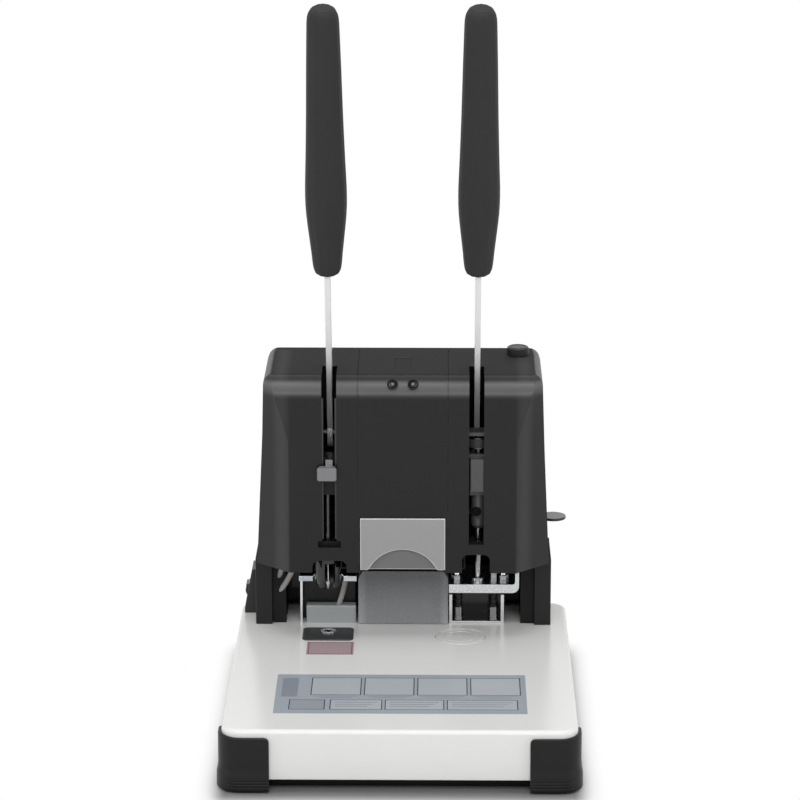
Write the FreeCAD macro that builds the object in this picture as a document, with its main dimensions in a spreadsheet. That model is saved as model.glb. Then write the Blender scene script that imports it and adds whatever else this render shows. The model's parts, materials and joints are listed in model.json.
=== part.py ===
"""Document riveting machine, in millimetres, +Z up, the operator on the -Y side.

The origin is on the desk, under the middle of the machine's own box. A white worktable carries a black
head on two legs. The right-hand lever brings a belt-driven hollow drill down through a stack of
paper, and the left-hand lever brings a hot needle down on a plastic tube to rivet its two ends.
Both levers turn a toothed sector that meshes with a rack on a sliding block.
"""
import FreeCAD, Part
import Sketcher
import math
import os

os.makedirs("parts", exist_ok=True)
doc = FreeCAD.newDocument("document_riveting_machine")

# ---------------------------------------------------------------- driving dimensions

driving = {
    # worktable
    "table_width": 300.0,
    "table_depth": 350.0,
    "table_height": 55.0,
    "tray_sheet": 2.0,
    "tray_bottom": 13.0,
    "tray_corner": 15.0,
    "tray_bend": 4.0,
    "pan_inset": 1.0,
    "pan_rim_inset": 8.0,
    "pan_sheet": 3.0,
    "pan_rim_bottom": 3.0,
    "pan_rim_wall": 2.0,
    "foot_radius": 11.0,
    "foot_inset_x": 30.0,
    "foot_inset_y": 30.0,
    "screw_radius": 2.0,
    "screw_head_radius": 4.0,
    "screw_head_height": 2.4,
    # corner guards
    "guard_length": 45.0,
    "guard_wall": 3.0,
    "guard_skirt_wall": 1.5,
    "guard_bottom": 4.5,
    "guard_skirt_top": 20.5,
    "guard_top": 48.5,
    "guard_horn_top": 50.5,
    "guard_horn_length": 14.0,
    "guard_horn_curve": 2.0,
    # working stations
    "station_x": 67.6,
    "station_y": 82.0,
    "running_gap": 0.05,
    "free_gap": 0.3,
    "pad_radius": 22.5,
    "pad_centre_x": 52.0,
    "pad_centre_y": 73.5,
    "pad_thickness": 6.0,
    "pad_seat_wall": 5.0,
    "pad_seat_floor": 4.0,
    "die_plate_width": 46.0,
    "die_plate_depth": 34.0,
    "die_plate_sheet": 1.5,
    "die_plate_corner": 5.0,
    "die_plate_shift": 5.0,
    "die_radius": 7.0,
    "die_bore_radius": 3.2,
    "die_proud": 1.0,
    "die_length": 24.0,
    "lower_heater_radius": 12.0,
    "lower_heater_length": 18.0,
    "lower_heater_drop": 2.0,
    # labels
    "label_sheet": 0.3,
    "label_width": 216.0,
    "label_depth": 100.0,
    "label_centre_y": -83.0,
    "caution_width": 42.0,
    "caution_depth": 35.0,
    "caution_centre_y": 38.5,
    "caution_shift": 3.0,
    "board_left": -40.0,
    "board_width": 100.0,
    "board_front": 100.0,
    "board_depth": 60.0,
    "board_sheet": 1.6,
    "board_lift": 5.0,
    "board_inset": 5.0,
    "board_post_radius": 2.5,
    "transformer_width": 35.0,
    "transformer_depth": 36.0,
    "transformer_height": 20.4,
    "relay_width": 16.0,
    "relay_depth": 12.0,
    "relay_height": 10.4,
    "capacitor_radius": 6.0,
    "capacitor_height": 18.4,
    # head: side plates, shelf, legs
    "throat_back": 107.0,
    "head_back": 165.0,
    "side_plate_inner": 107.0,
    "side_plate_sheet": 5.0,
    "side_plate_front": 112.0,
    "side_plate_back": 160.0,
    "side_plate_top": 283.0,
    "flange_drop": 2.0,
    "cover_screw_low": 66.0,
    "cover_screw_middle": 170.0,
    "cover_screw_high": 260.0,
    "screw_grip": 10.0,
    "leg_outer": 134.5,
    "leg_inner": 119.5,
    "leg_wall": 2.5,
    "shelf_bottom": 140.0,
    "shelf_sheet": 5.0,
    "shelf_step_y": 95.0,
    "shelf_front": 71.5,
    "chuck_clearance": 1.5,
    "tongue_inner": 54.0,
    "tongue_outer": 92.0,
    "bearing_plate_inner": 45.0,
    "bearing_plate_front": 119.0,
    "bearing_plate_top": 252.0,
    # covers
    "cover_bottom": 118.0,
    "cover_knee": 239.0,
    "cover_top": 299.0,
    "cover_half_bottom": 132.0,
    "cover_half_knee": 126.3,
    "cover_half_top": 124.0,
    "cover_front_bottom": 64.0,
    "cover_front_knee": 66.7,
    "cover_front_top": 68.0,
    "front_face_half": 102.0,
    "top_facet": 4.0,
    "hollow_top_facet": 15.0,
    "cover_wall": 3.0,
    "cover_front_round": 10.0,
    "rear_cover_depth": 9.2,
    "rear_cover_wall": 2.0,
    "inlet_reach": 5.3,
    "slot_half": 6.7,
    "slot_x": 65.7,
    "slot_back": 116.5,
    "left_slot_bottom": 147.4,
    "right_slot_bottom": 144.0,
    "tee_half": 10.3,
    "tee_height": 6.5,
    "arch_radius": 6.0,
    "left_arch_half": 15.4,
    "left_arch_top": 129.0,
    "right_arch_half": 12.6,
    "right_arch_top": 135.0,
    "panel_groove_x": 40.3,
    "groove_width": 1.0,
    "groove_depth": 0.8,
    "recess_half": 7.9,
    "recess_front": 98.0,
    "recess_back": 138.0,
    "recess_depth": 0.8,
    # controls
    "led_radius": 3.0,
    "led_x": 8.6,
    "led_drop": 7.2,
    "led_length": 12.0,
    "led_proud": 0.3,
    "knob_radius": 10.0,
    "knob_height": 8.0,
    "knob_stem_radius": 3.0,
    "knob_stem_length": 12.0,
    "knob_x": 103.5,
    "knob_y": 148.0,
    "stop_pad_radius": 11.6,
    "stop_pad_x": 136.8,
    "stop_pivot_x": 118.0,
    "stop_arm_half": 6.0,
    "stop_sheet": 2.6,
    "stop_y": 140.0,
    "stop_z": 148.6,
    "stop_pin_radius": 2.5,
    "stop_slit_half": 13.0,
    "stop_slit_gap": 0.6,
    "stop_lug_sheet": 5.0,
    "stop_pin_proud": 1.0,
    "switch_front": 140.0,
    "switch_back": 168.0,
    "switch_top": 97.0,
    "switch_reach_top": 139.5,
    "switch_reach_bottom": 146.5,
    "switch_foot": 5.0,
    "switch_radius": 8.0,
    "switch_inset": 8.5,
    "switch_lift": 20.0,
    "switch_margin": 6.0,
    "switch_rib_radius": 1.0,
    "switch_rib_turn": 35.0,
    "inlet_x": -88.0,
    "inlet_z": 86.0,
    "inlet_width": 48.0,
    "inlet_height": 28.0,
    "inlet_rim": 8.0,
    "inlet_wall": 3.0,
    "inlet_flange": 2.4,
    "inlet_depth": 20.0,
    "inlet_floor": 6.0,
    "inlet_pin_width": 2.0,
    "inlet_pin_height": 4.0,
    "inlet_pin_pitch": 7.0,
    "inlet_pin_rise": 3.0,
    "inlet_pin_setback": 7.0,
    # boxes
    "drawer_half": 38.0,
    "drawer_bottom": 121.0,
    "drawer_top": 169.0,
    "drawer_front_sheet": 3.0,
    "drawer_depth": 46.0,
    "drawer_tray_top": 150.0,
    "drawer_wall": 1.5,
    "drawer_gap": 0.4,
    "drawer_proud": 1.6,
    "drawer_tray_inset": 2.0,
    "cradle_sheet": 1.5,
    "cradle_gap": 0.5,
    "cradle_depth": 40.0,
    "drawer_notch_half": 31.0,
    "drawer_notch_height": 19.0,
    "bin_half": 41.0,
    "bin_front": 108.0,
    "bin_depth": 50.0,
    "bin_height": 50.5,
    "bin_wall": 2.0,
    "bin_chamfer": 4.0,
    "bin_chamfer_height": 8.0,
    # levers, sectors and racks
    "pivot_y": 132.0,
    "pivot_z": 230.0,
    "lever_x": 66.4,
    "lever_sheet": 5.0,
    "lever_width": 16.0,
    "lever_eye_radius": 13.0,
    "lever_tilt": 20.0,
    "lever_swing": 56.0,
    "shaft_radius": 5.0,
    "shaft_proud": 1.5,
    "bush_wall": 3.0,
    "grip_start": 174.0,
    "grip_length": 261.0,
    "tang_length": 90.0,
    "tang_inset": 2.0,
    "grip_end_radius": 11.0,
    "grip_waist_radius": 13.8,
    "grip_waist_at": 18.0,
    "grip_belly_radius": 18.2,
    "grip_belly_from": 66.0,
    "grip_belly_to": 84.0,
    "grip_shoulder_radius": 13.7,
    "grip_shoulder_drop": 9.0,
    "grip_top_radius": 8.5,
    "gear_module": 2.0,
    "sector_teeth": 43.0,
    "gear_sheet": 4.0,
    "gear_x": 80.5,
    "tooth_slack": 0.22,
    "pressure_angle": 20.0,
    "sector_hub_radius": 12.0,
    "rack_back": 4.5,
    "sector_margin": 12.0,
    "spring_wire": 1.8,
    "spring_length": 18.0,
    "spring_x": 96.0,
    "spring_pitch": 1.25,
    # sliding blocks
    "block_bottom": 188.0,
    "block_top": 223.0,
    "block_inner": 60.0,
    "boss_outer": 76.0,
    "boss_front": 73.0,
    "boss_back": 91.0,
    "arm_front": 76.0,
    "arm_back": 86.2,
    "rail_width": 6.6,
    "rail_front": 76.0,
    "rail_back": 90.0,
    "rail_top": 283.0,
    "rail_gap": 0.9,
    "rail_stay_sheet": 4.0,
    "rail_stay_inset": 4.0,
    "rail_stay_overlap": 8.0,
    "gib_sheet": 4.0,
    "gib_back_top": 204.0,
    "gib_gap": 0.5,
    "gib_finger": 6.0,
    "spindle_radius": 4.0,
    # left tool
    "ram_head_half": 9.2,
    "ram_head_bottom": 202.0,
    "ram_head_top": 219.0,
    "ram_head_front": 60.4,
    "ram_head_sheet": 4.0,
    "ram_neck_half": 3.1,
    "ram_neck_drop": 2.0,
    "liner_foot": 4.0,
    "liner_foot_height": 7.0,
    "liner_foot_setback": 3.2,
    "liner_lift": 1.0,
    "liner_drop": 5.0,
    "liner_sheet": 1.6,
    "liner_front": 67.6,
    "heater_radius": 10.0,
    "heater_top": 132.0,
    "heater_bottom": 106.0,
    "nozzle_radius": 5.0,
    "needle_radius": 2.7,
    "needle_tip": 86.4,
    "needle_point": 9.0,
    "needle_seat": 6.0,
    "needle_tip_radius": 0.4,
    "fin_pitch": 3.0,
    "fin_width": 1.2,
    "fin_top": 4.0,
    "fork_bottom": 100.0,
    "fork_sheet": 3.0,
    "fork_left": 94.0,
    "fork_right": 42.0,
    "fork_front": 84.0,
    "fork_back": 128.0,
    "fork_gap_radius": 11.8,
    "fork_leg_sheet": 2.2,
    "fork_leg_depth": 18.0,
    "fork_wall_inset": 2.0,
    "lower_housing_height": 16.5,
    "lower_housing_depth": 12.0,
    "lower_housing_gap": 4.0,
    "lower_housing_side_gap": 3.3,
    "lower_housing_inner_gap": 1.3,
    "lower_housing_round": 2.0,
    "cable_radius": 2.4,
    # right tool
    "chuck_radius": 6.5,
    "chuck_bottom": 156.0,
    "chuck_nose_height": 3.0,
    "chuck_nose_radius": 4.5,
    "chuck_screw_radius": 1.6,
    "chuck_screw_drop": 9.0,
    "chuck_screw_depth": 3.0,
    "spindle_bottom": 176.0,
    "bit_radius": 2.5,
    "bit_bore_radius": 1.7,
    "bit_stop_gap": 0.5,
    "bit_edge_length": 3.0,
    "bit_edge_wall": 0.1,
    "bit_seat": 2.0,
    "nose_front": 66.8,
    "nose_half": 5.6,
    "nose_shift": 1.15,
    "nose_lift": 5.0,
    "pulley_bottom": 231.0,
    "pulley_width": 10.0,
    "pulley_flange": 1.0,
    "pulley_rim": 1.2,
    "plate_clearance": 2.0,
    "belt_margin": 0.3,
    "belt_gap": 0.2,
    "spindle_pulley_radius": 9.0,
    "motor_pulley_radius": 7.0,
    "motor_x": 30.0,
    "motor_y": 98.0,
    "motor_radius": 17.0,
    "motor_length": 42.0,
    "motor_shaft_radius": 2.0,
    "motor_bracket_half": 19.0,
    "motor_bracket_front": 18.0,
    "motor_cap_inset": 5.0,
    "motor_cap_height": 2.5,
    "motor_collar": 3.0,
    "motor_bore_depth": 6.0,
    "motor_bracket_back": 116.0,
    "bracket_sheet": 3.0,
    "belt_sheet": 1.0,
    "press_left": 41.5,
    "press_right": 104.5,
    "press_front": 68.0,
    "press_back": 128.0,
    "press_bottom": 103.0,
    "press_sheet": 3.0,
    "press_flange_bottom": 98.0,
    "press_ear_height": 15.0,
    "press_ear_width": 6.0,
    "press_lip": 0.5,
    "press_block_width": 5.0,
    "press_block_half": 3.0,
    "press_block_height": 7.0,
    "press_block_x": 79.5,
    "press_step": 6.0,
    "press_tongue_left": 44.6,
    "press_tongue_right": 89.0,
    "press_bush_radius": 5.5,
    "press_bush_height": 3.0,
    "nut_radius": 5.0,
    "nut_height": 4.5,
    "stud_proud": 2.0,
    "stud_head_height": 2.4,
    "stud_head_share": 0.8,
    "nut_left_x": 48.8,
    "nut_right_x": 90.3,
    "nut_y": 85.0,
    "post_left_x": 50.0,
    "post_right_x": 82.5,
    "post_y": 118.0,
    "post_radius": 3.0,
    "post_collar_radius": 4.4,
    "post_foot_radius": 5.0,
    "post_foot_height": 2.6,
    "post_spring_wire": 1.2,
    "post_spring_turns": 7.0,
    "post_collar_top": 69.6,
    "post_top": 122.0,
    "bracket_left": 41.8,
    "bracket_right": 92.0,
    "bracket_front": 112.0,
    "bracket_back": 142.0,
    "bracket_side_top": 82.4,
    "bracket_floor_sheet": 2.0,
    "bracket_back_sheet": 2.0,
}

sheet = doc.addObject("Spreadsheet::Sheet", "Sizes")
for row, (alias, number) in enumerate(driving.items(), start=1):
    sheet.set(f"A{row}", alias)
    sheet.set(f"B{row}", str(number))
    sheet.setAlias(f"B{row}", alias)
doc.recompute()


class Size:
    """A size read from the sheet, or worked out from such sizes, with the expression that gives it."""

    def __init__(self, value, text):
        self.value = value
        self.text = text

    def __add__(self, other):
        return Size(self.value + number_of(other), f"({self.text} + {text_of(other)})")

    def __sub__(self, other):
        return Size(self.value - number_of(other), f"({self.text} - {text_of(other)})")

    def __rsub__(self, other):
        return Size(number_of(other) - self.value, f"({text_of(other)} - {self.text})")

    def __mul__(self, other):
        return Size(self.value * number_of(other), f"({self.text} * {text_of(other)})")

    def __truediv__(self, other):
        return Size(self.value / number_of(other), f"({self.text} / {text_of(other)})")

    def __neg__(self):
        return Size(-self.value, f"(-{self.text})")

    __radd__ = __add__
    __rmul__ = __mul__


def number_of(amount):
    return amount.value if isinstance(amount, Size) else float(amount)


def text_of(amount):
    return amount.text if isinstance(amount, Size) else f"({float(amount)})"


class Sizes:
    """Every driving dimension of the sheet, by its alias."""

    def __getattr__(self, alias):
        return Size(float(sheet.get(alias)), f"Sizes.{alias}")


d = Sizes()

# ---------------------------------------------------------------- ways to make a solid


def bind(thing, path, amount):
    thing.setExpression(path, text_of(amount))


def block(x, y, z):
    """A box between three (low, high) pairs."""
    solid = doc.addObject("Part::Box", "Block")
    for path, span in (("Length", x), ("Width", y), ("Height", z)):
        bind(solid, path, span[1] - span[0])
    for path, span in (("x", x), ("y", y), ("z", z)):
        bind(solid, f"Placement.Base.{path}", span[0])
    return solid


def rod(axis, centre, span, radius, top_radius=None):
    """A cylinder, or a cone frustum if top_radius is given, along x, y or z over a (low, high) pair."""
    if top_radius is None:
        solid = doc.addObject("Part::Cylinder", "Rod")
        bind(solid, "Radius", radius)
    else:
        solid = doc.addObject("Part::Cone", "Taper")
        bind(solid, "Radius1", radius)
        bind(solid, "Radius2", top_radius)
    bind(solid, "Height", span[1] - span[0])
    turn = {"x": ((0, 1, 0), 90), "y": ((1, 0, 0), -90), "z": ((0, 0, 1), 0)}[axis]
    solid.Placement = FreeCAD.Placement(
        FreeCAD.Vector(0, 0, 0), FreeCAD.Rotation(FreeCAD.Vector(*turn[0]), turn[1])
    )
    places = {"x": (span[0], *centre), "y": (centre[0], span[0], centre[1]), "z": (*centre, span[0])}
    for path, place in zip("xyz", places[axis]):
        bind(solid, f"Placement.Base.{path}", place)
    return solid


def fuse(*solids):
    joined = doc.addObject("Part::MultiFuse", "Joined")
    joined.Shapes = list(solids)
    joined.Refine = True
    return joined


def cut(base, *tools):
    trimmed = doc.addObject("Part::Cut", "Trimmed")
    trimmed.Base = base
    trimmed.Tool = tools[0] if len(tools) == 1 else fuse(*tools)
    trimmed.Refine = True
    return trimmed


def common(base, tool):
    shared = doc.addObject("Part::Common", "Shared")
    shared.Base = base
    shared.Tool = tool
    return shared


def group(*solids):
    """Several separate solids of one node."""
    gathered = doc.addObject("Part::Compound", "Group")
    gathered.Links = list(solids)
    return gathered


def set_at(thing, x, y, z, tilt=0.0):
    """Places a finished object, tilted forwards about the x axis by an angle in degrees."""
    thing.Placement = FreeCAD.Placement(
        FreeCAD.Vector(0, 0, 0), FreeCAD.Rotation(FreeCAD.Vector(1, 0, 0), number_of(tilt) or 1)
    )
    bind(thing, "Placement.Rotation.Angle", tilt)
    for path, place in zip("xyz", (x, y, z)):
        bind(thing, f"Placement.Base.{path}", place)
    return thing


def place_point(sketch, curve, point, u, v):
    """Fixes a sketch point by its distances from the two axes."""
    for kind, axis, amount in (("DistanceX", -2, u), ("DistanceY", -1, v)):
        number = number_of(amount)
        if abs(number) < 1e-9:
            sketch.addConstraint(Sketcher.Constraint("PointOnObject", curve, point, axis))
            continue
        ends = (-1, 1, curve, point) if number > 0 else (curve, point, -1, 1)
        index = sketch.addConstraint(Sketcher.Constraint(kind, *ends, abs(number)))
        bind(sketch, f"Constraints[{index}]", amount if number > 0 else 0 - amount)


def draw_outline(sketch, corners):
    """A closed outline of straight lines."""
    flat = [FreeCAD.Vector(number_of(u), number_of(v), 0) for u, v in corners]
    first = sketch.GeometryCount
    count = len(flat)
    for index in range(count):
        sketch.addGeometry(Part.LineSegment(flat[index], flat[(index + 1) % count]))
    for index, (u, v) in enumerate(corners):
        line = first + index
        before = first + (index - 1) % count
        sketch.addConstraint(Sketcher.Constraint("Coincident", before, 2, line, 1))
        place_point(sketch, line, 1, u, v)


def draw_circle(sketch, u, v, radius):
    centre = FreeCAD.Vector(number_of(u), number_of(v), 0)
    curve = sketch.addGeometry(Part.Circle(centre, FreeCAD.Vector(0, 0, 1), number_of(radius)))
    index = sketch.addConstraint(Sketcher.Constraint("Radius", curve, number_of(radius)))
    bind(sketch, f"Constraints[{index}]", radius)
    place_point(sketch, curve, 3, u, v)


def new_body(name):
    return doc.addObject("PartDesign::Body", name)


def sketch_on(body, role, offset):
    """An empty sketch on one of the body's own planes, moved along that plane's normal."""
    plane = [item for item in body.Origin.OriginFeatures if item.Role == role][0]
    sketch = body.newObject("Sketcher::SketchObject", "Outline")
    sketch.AttachmentSupport = [(plane, "")]
    sketch.MapMode = "FlatFace"
    bind(sketch, "AttachmentOffset.Base.z", offset)
    return sketch


def pad(body, role, span, *outlines):
    """Pads closed outlines over a (low, high) pair along the plane's axis."""
    low, high = span
    sketch = sketch_on(body, role, 0 - high if role == "XZ_Plane" else low)
    for outline in outlines:
        if len(outline) == 3 and not isinstance(outline[0], tuple):
            draw_circle(sketch, *outline)
        else:
            draw_outline(sketch, outline)
    step = body.newObject("PartDesign::Pad", "Pad")
    step.Profile = sketch
    bind(step, "Length", high - low)
    return step


def pocket(body, role, span, *outlines):
    """Cuts closed outlines out of the body over a (low, high) pair along the plane's axis."""
    low, high = span
    doc.recompute()
    before = body.Shape.Volume
    sketch = sketch_on(body, role, 0 - low if role == "XZ_Plane" else high)
    for outline in outlines:
        if len(outline) == 3 and not isinstance(outline[0], tuple):
            draw_circle(sketch, *outline)
        else:
            draw_outline(sketch, outline)
    step = body.newObject("PartDesign::Pocket", "Pocket")
    step.Profile = sketch
    bind(step, "Length", high - low)
    doc.recompute()
    if body.Shape.Volume >= before:
        raise RuntimeError(f"{body.Name}: a pocket removed nothing")
    return step


def round_edges(body, radius, choose):
    """Rounds the edges that choose picks."""
    doc.recompute()
    base = body.Tip
    names = [
        f"Edge{index}" for index, edge in enumerate(base.Shape.Edges, start=1) if choose(edge)
    ]
    step = body.newObject("PartDesign::Fillet", "Rounding")
    step.Base = (base, names)
    bind(step, "Radius", radius)
    doc.recompute()
    return step


def runs_along(edge, axis):
    """Whether an edge is straight and parallel to x, y or z."""
    direction = edge.Vertexes[-1].Point - edge.Vertexes[0].Point
    length = direction.Length
    return (
        len(edge.Vertexes) == 2
        and edge.Curve.TypeId == "Part::GeomLine"
        and abs(getattr(direction, axis)) > 0.999 * length
    )


def near(amount, target):
    return abs(amount - number_of(target)) < 0.01


def rectangle(x, y):
    return [(x[0], y[0]), (x[1], y[0]), (x[1], y[1]), (x[0], y[1])]


def across(side, inner, outer):
    """A span in x between two distances from the middle, on the left (-1) or the right (1)."""
    return (0 - outer, 0 - inner) if side < 0 else (inner, outer)


def feature(shape_name, shape):
    """A shape made by Part's own functions from the sheet's values."""
    thing = doc.addObject("Part::Feature", shape_name)
    thing.Shape = shape
    return thing


pieces = []


def piece(name, thing):
    """Names a finished sub-part, which is written to its own file."""
    thing.Label = name
    pieces.append(thing)
    return thing


# ---------------------------------------------------------------- worktable

half_width = d.table_width / 2
half_depth = d.table_depth / 2
table_x = (0 - half_width, half_width)
table_y = (0 - half_depth, half_depth)
table_underside = d.table_height - d.tray_sheet
left_x = 0 - d.station_x
tray_hole = d.pad_radius + d.free_gap

tray = new_body("Tray")
pad(tray, "XY_Plane", (d.tray_bottom, d.table_height), rectangle(table_x, table_y))
round_edges(tray, d.tray_corner, lambda edge: runs_along(edge, "z"))
round_edges(
    tray, d.tray_bend, lambda edge: all(near(v.Z, d.table_height) for v in edge.Vertexes)
)
hollow_x = half_width - d.tray_sheet
hollow_y = half_depth - d.tray_sheet
tray_hollow = new_body("TrayHollow")
pad(
    tray_hollow,
    "XY_Plane",
    (d.tray_bottom, table_underside),
    rectangle((0 - hollow_x, hollow_x), (0 - hollow_y, hollow_y)),
)
round_edges(tray_hollow, d.tray_corner - d.tray_sheet, lambda edge: runs_along(edge, "z"))
table_top = (table_underside, d.table_height)
pad_centre = (d.pad_centre_x, d.pad_centre_y)
left_station = (left_x, d.station_y)
pad_hole = rod("z", pad_centre, table_top, tray_hole)
die_hole = rod("z", left_station, table_top, d.die_radius + d.free_gap)
piece("worktable_tray", cut(tray, tray_hollow, pad_hole, die_hole))


# the bottom pan closes the worktable, and its rim stands just off the desk
pan_half_x = half_width - d.pan_inset
pan_half_y = half_depth - d.pan_inset
rim_half_x = half_width - d.pan_rim_inset
rim_half_y = half_depth - d.pan_rim_inset
rim_wall = d.pan_rim_wall
pan_floor = d.tray_bottom - d.pan_sheet
foot_x = half_width - d.foot_inset_x
foot_y = half_depth - d.foot_inset_y
foot_places = [(0 - foot_x, 0 - foot_y), (foot_x, 0 - foot_y), (0 - foot_x, foot_y), (foot_x, foot_y)]
pan = new_body("Pan")
pad(
    pan,
    "XY_Plane",
    (pan_floor, d.tray_bottom),
    rectangle((0 - pan_half_x, pan_half_x), (0 - pan_half_y, pan_half_y)),
)
round_edges(pan, d.tray_corner, lambda edge: runs_along(edge, "z"))
pad(
    pan,
    "XY_Plane",
    (d.pan_rim_bottom, pan_floor),
    rectangle((0 - rim_half_x, rim_half_x), (0 - rim_half_y, rim_half_y)),
    rectangle((rim_wall - rim_half_x, rim_half_x - rim_wall), (rim_wall - rim_half_y, rim_half_y - rim_wall)),
)
pocket(pan, "XY_Plane", (pan_floor, d.tray_bottom), *[(x, y, d.screw_radius) for x, y in foot_places])
piece("base_bottom_pan", pan)

# rubber feet, each on a screw through the pan
foot_screw_top = d.tray_bottom + d.screw_head_height
feet = []
foot_screws = []
for x, y in foot_places:
    foot = rod("z", (x, y), (0, pan_floor), d.foot_radius)
    feet.append(cut(foot, rod("z", (x, y), (pan_floor / 2, pan_floor), d.screw_radius)))
    shank = rod("z", (x, y), (pan_floor / 2, d.tray_bottom), d.screw_radius)
    head = rod("z", (x, y), (d.tray_bottom, foot_screw_top), d.screw_head_radius)
    foot_screws.append(fuse(shank, head))
piece("rubber_feet", group(*feet))

# ---------------------------------------------------------------- front corner guards

guard_wall = d.guard_wall
guard_skirt = d.guard_wall + d.guard_skirt_wall


def corner_band(side, wall, z):
    """A wall of one thickness round a front corner of the worktable."""
    body = new_body("Band")
    outer_x = across(side, half_width - d.guard_length + guard_skirt, half_width + wall)
    outer_y = (0 - half_depth - wall, d.guard_length - guard_skirt - half_depth)
    pad(body, "XY_Plane", z, rectangle(outer_x, outer_y))
    corner_x = number_of(side * (half_width + wall))
    corner_y = number_of(outer_y[0])
    round_edges(
        body,
        d.tray_corner + wall,
        lambda edge: runs_along(edge, "z")
        and near(edge.Vertexes[0].X, corner_x)
        and near(edge.Vertexes[0].Y, corner_y),
    )
    core = new_body("Core")
    reach_x = across(side, half_width - d.guard_length * 2, half_width)
    pad(core, "XY_Plane", z, rectangle(reach_x, (0 - half_depth, d.guard_length * 2 - half_depth)))
    round_edges(
        core,
        d.tray_corner,
        lambda edge: runs_along(edge, "z")
        and near(edge.Vertexes[0].X, side * half_width)
        and near(edge.Vertexes[0].Y, 0 - half_depth),
    )
    return cut(body, core)


for side, name in ((-1, "front_left_guard"), (1, "front_right_guard")):
    skirt = corner_band(side, guard_skirt, (d.guard_bottom, d.guard_skirt_top))
    upper = corner_band(side, guard_wall, (d.guard_skirt_top, d.guard_horn_top))
    horn = half_width + guard_wall - d.guard_horn_length
    above = (d.guard_top, d.guard_horn_top + d.guard_wall)
    front_trim = new_body("FrontTrim")
    pad(
        front_trim,
        "XZ_Plane",
        (0 - half_depth - guard_skirt * 2, d.guard_horn_length - half_depth - guard_wall),
        rectangle(across(side, half_width - d.guard_length * 2, horn), above),
    )
    side_trim = new_body("SideTrim")
    horn_y = d.guard_horn_length - guard_wall - half_depth
    pad(
        side_trim,
        "YZ_Plane",
        across(side, horn, half_width + guard_skirt * 2),
        rectangle((horn_y, d.guard_length * 2 - half_depth), above),
    )
    for trim, role in ((front_trim, "y"), (side_trim, "x")):
        corner = horn * side if role == "y" else horn_y
        measure = (lambda v: v.X) if role == "y" else (lambda v: v.Y)
        round_edges(
            trim,
            d.guard_horn_curve,
            lambda edge: runs_along(edge, role)
            and near(edge.Vertexes[0].Z, d.guard_top)
            and near(measure(edge.Vertexes[0]), corner),
        )
    piece(name, cut(fuse(skirt, upper), front_trim, side_trim))

# ---------------------------------------------------------------- cutting pad and lower rivet die

pad_top = d.table_height
pad_bottom = pad_top - d.pad_thickness
seat_floor = pad_bottom - d.free_gap
seat_bottom = seat_floor - d.pad_seat_floor
seat_outer = tray_hole + d.pad_seat_wall
piece("cutting_pad", rod("z", pad_centre, (pad_bottom, pad_top), d.pad_radius))
piece(
    "cutting_pad_seat",
    cut(
        rod("z", pad_centre, (seat_bottom, table_underside), seat_outer),
        rod("z", pad_centre, (seat_floor, table_underside), tray_hole),
    ),
)

die_plate_top = d.table_height + d.die_plate_sheet
die_top = die_plate_top + d.die_proud
die_bottom = die_top - d.die_length
plate_x = (left_x - d.die_plate_width / 2, left_x + d.die_plate_width / 2)
plate_middle = d.station_y - d.die_plate_shift
plate_y = (plate_middle - d.die_plate_depth / 2, plate_middle + d.die_plate_depth / 2)
die_plate = new_body("DiePlate")
pad(die_plate, "XY_Plane", (d.table_height, die_plate_top), rectangle(plate_x, plate_y))
round_edges(die_plate, d.die_plate_corner, lambda edge: runs_along(edge, "z"))
pocket(die_plate, "XY_Plane", (d.table_height, die_plate_top), (*left_station, d.die_radius))
piece("rivet_die_plate", die_plate)
piece(
    "lower_rivet_die",
    cut(
        rod("z", left_station, (die_bottom, die_top), d.die_radius),
        rod("z", left_station, (die_bottom, die_top), d.die_bore_radius),
    ),
)
heater_floor = die_bottom - d.lower_heater_drop
heater_low = (heater_floor, heater_floor + d.lower_heater_length)
piece(
    "lower_heater",
    cut(
        rod("z", left_station, heater_low, d.lower_heater_radius),
        rod("z", left_station, (die_bottom, heater_low[1]), d.die_radius),
        rod("z", left_station, heater_low, d.die_bore_radius),
    ),
)

# ---------------------------------------------------------------- labels and electronics

label_z = (d.table_height, d.table_height + d.label_sheet)
label_y = (d.label_centre_y - d.label_depth / 2, d.label_centre_y + d.label_depth / 2)
piece("instruction_label", block((0 - d.label_width / 2, d.label_width / 2), label_y, label_z))
caution_middle = left_x + d.caution_shift
caution_x = (caution_middle - d.caution_width / 2, caution_middle + d.caution_width / 2)
caution_y = (d.caution_centre_y - d.caution_depth / 2, d.caution_centre_y + d.caution_depth / 2)
piece("caution_label", block(caution_x, caution_y, label_z))

board_low = d.tray_bottom + d.board_lift
board_top = board_low + d.board_sheet
board_x = (d.board_left, d.board_left + d.board_width)
board_y = (d.board_front, d.board_front + d.board_depth)
board_parts = [block(board_x, board_y, (board_low, board_top))]
for x in (board_x[0] + d.board_inset, board_x[1] - d.board_inset):
    for y in (board_y[0] + d.board_inset, board_y[1] - d.board_inset):
        board_parts.append(rod("z", (x, y), (d.tray_bottom, board_low), d.board_post_radius))
transformer_x = board_x[0] + d.board_inset * 2
transformer_y = board_y[0] + d.board_inset * 2.4
relay_x = transformer_x + d.transformer_width + d.board_inset * 1.8
relay_y = board_y[0] + d.board_inset * 2
board_parts.append(
    block(
        (transformer_x, transformer_x + d.transformer_width),
        (transformer_y, transformer_y + d.transformer_depth),
        (board_top, board_top + d.transformer_height),
    )
)
board_parts.append(
    block(
        (relay_x, relay_x + d.relay_width),
        (relay_y, relay_y + d.relay_depth),
        (board_top, board_top + d.relay_height),
    )
)
capacitor_place = (board_x[1] - d.board_inset * 4, board_y[1] - d.board_inset * 4)
board_parts.append(
    rod("z", capacitor_place, (board_top, board_top + d.capacitor_height), d.capacitor_radius)
)
piece("control_board", fuse(*board_parts))

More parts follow.
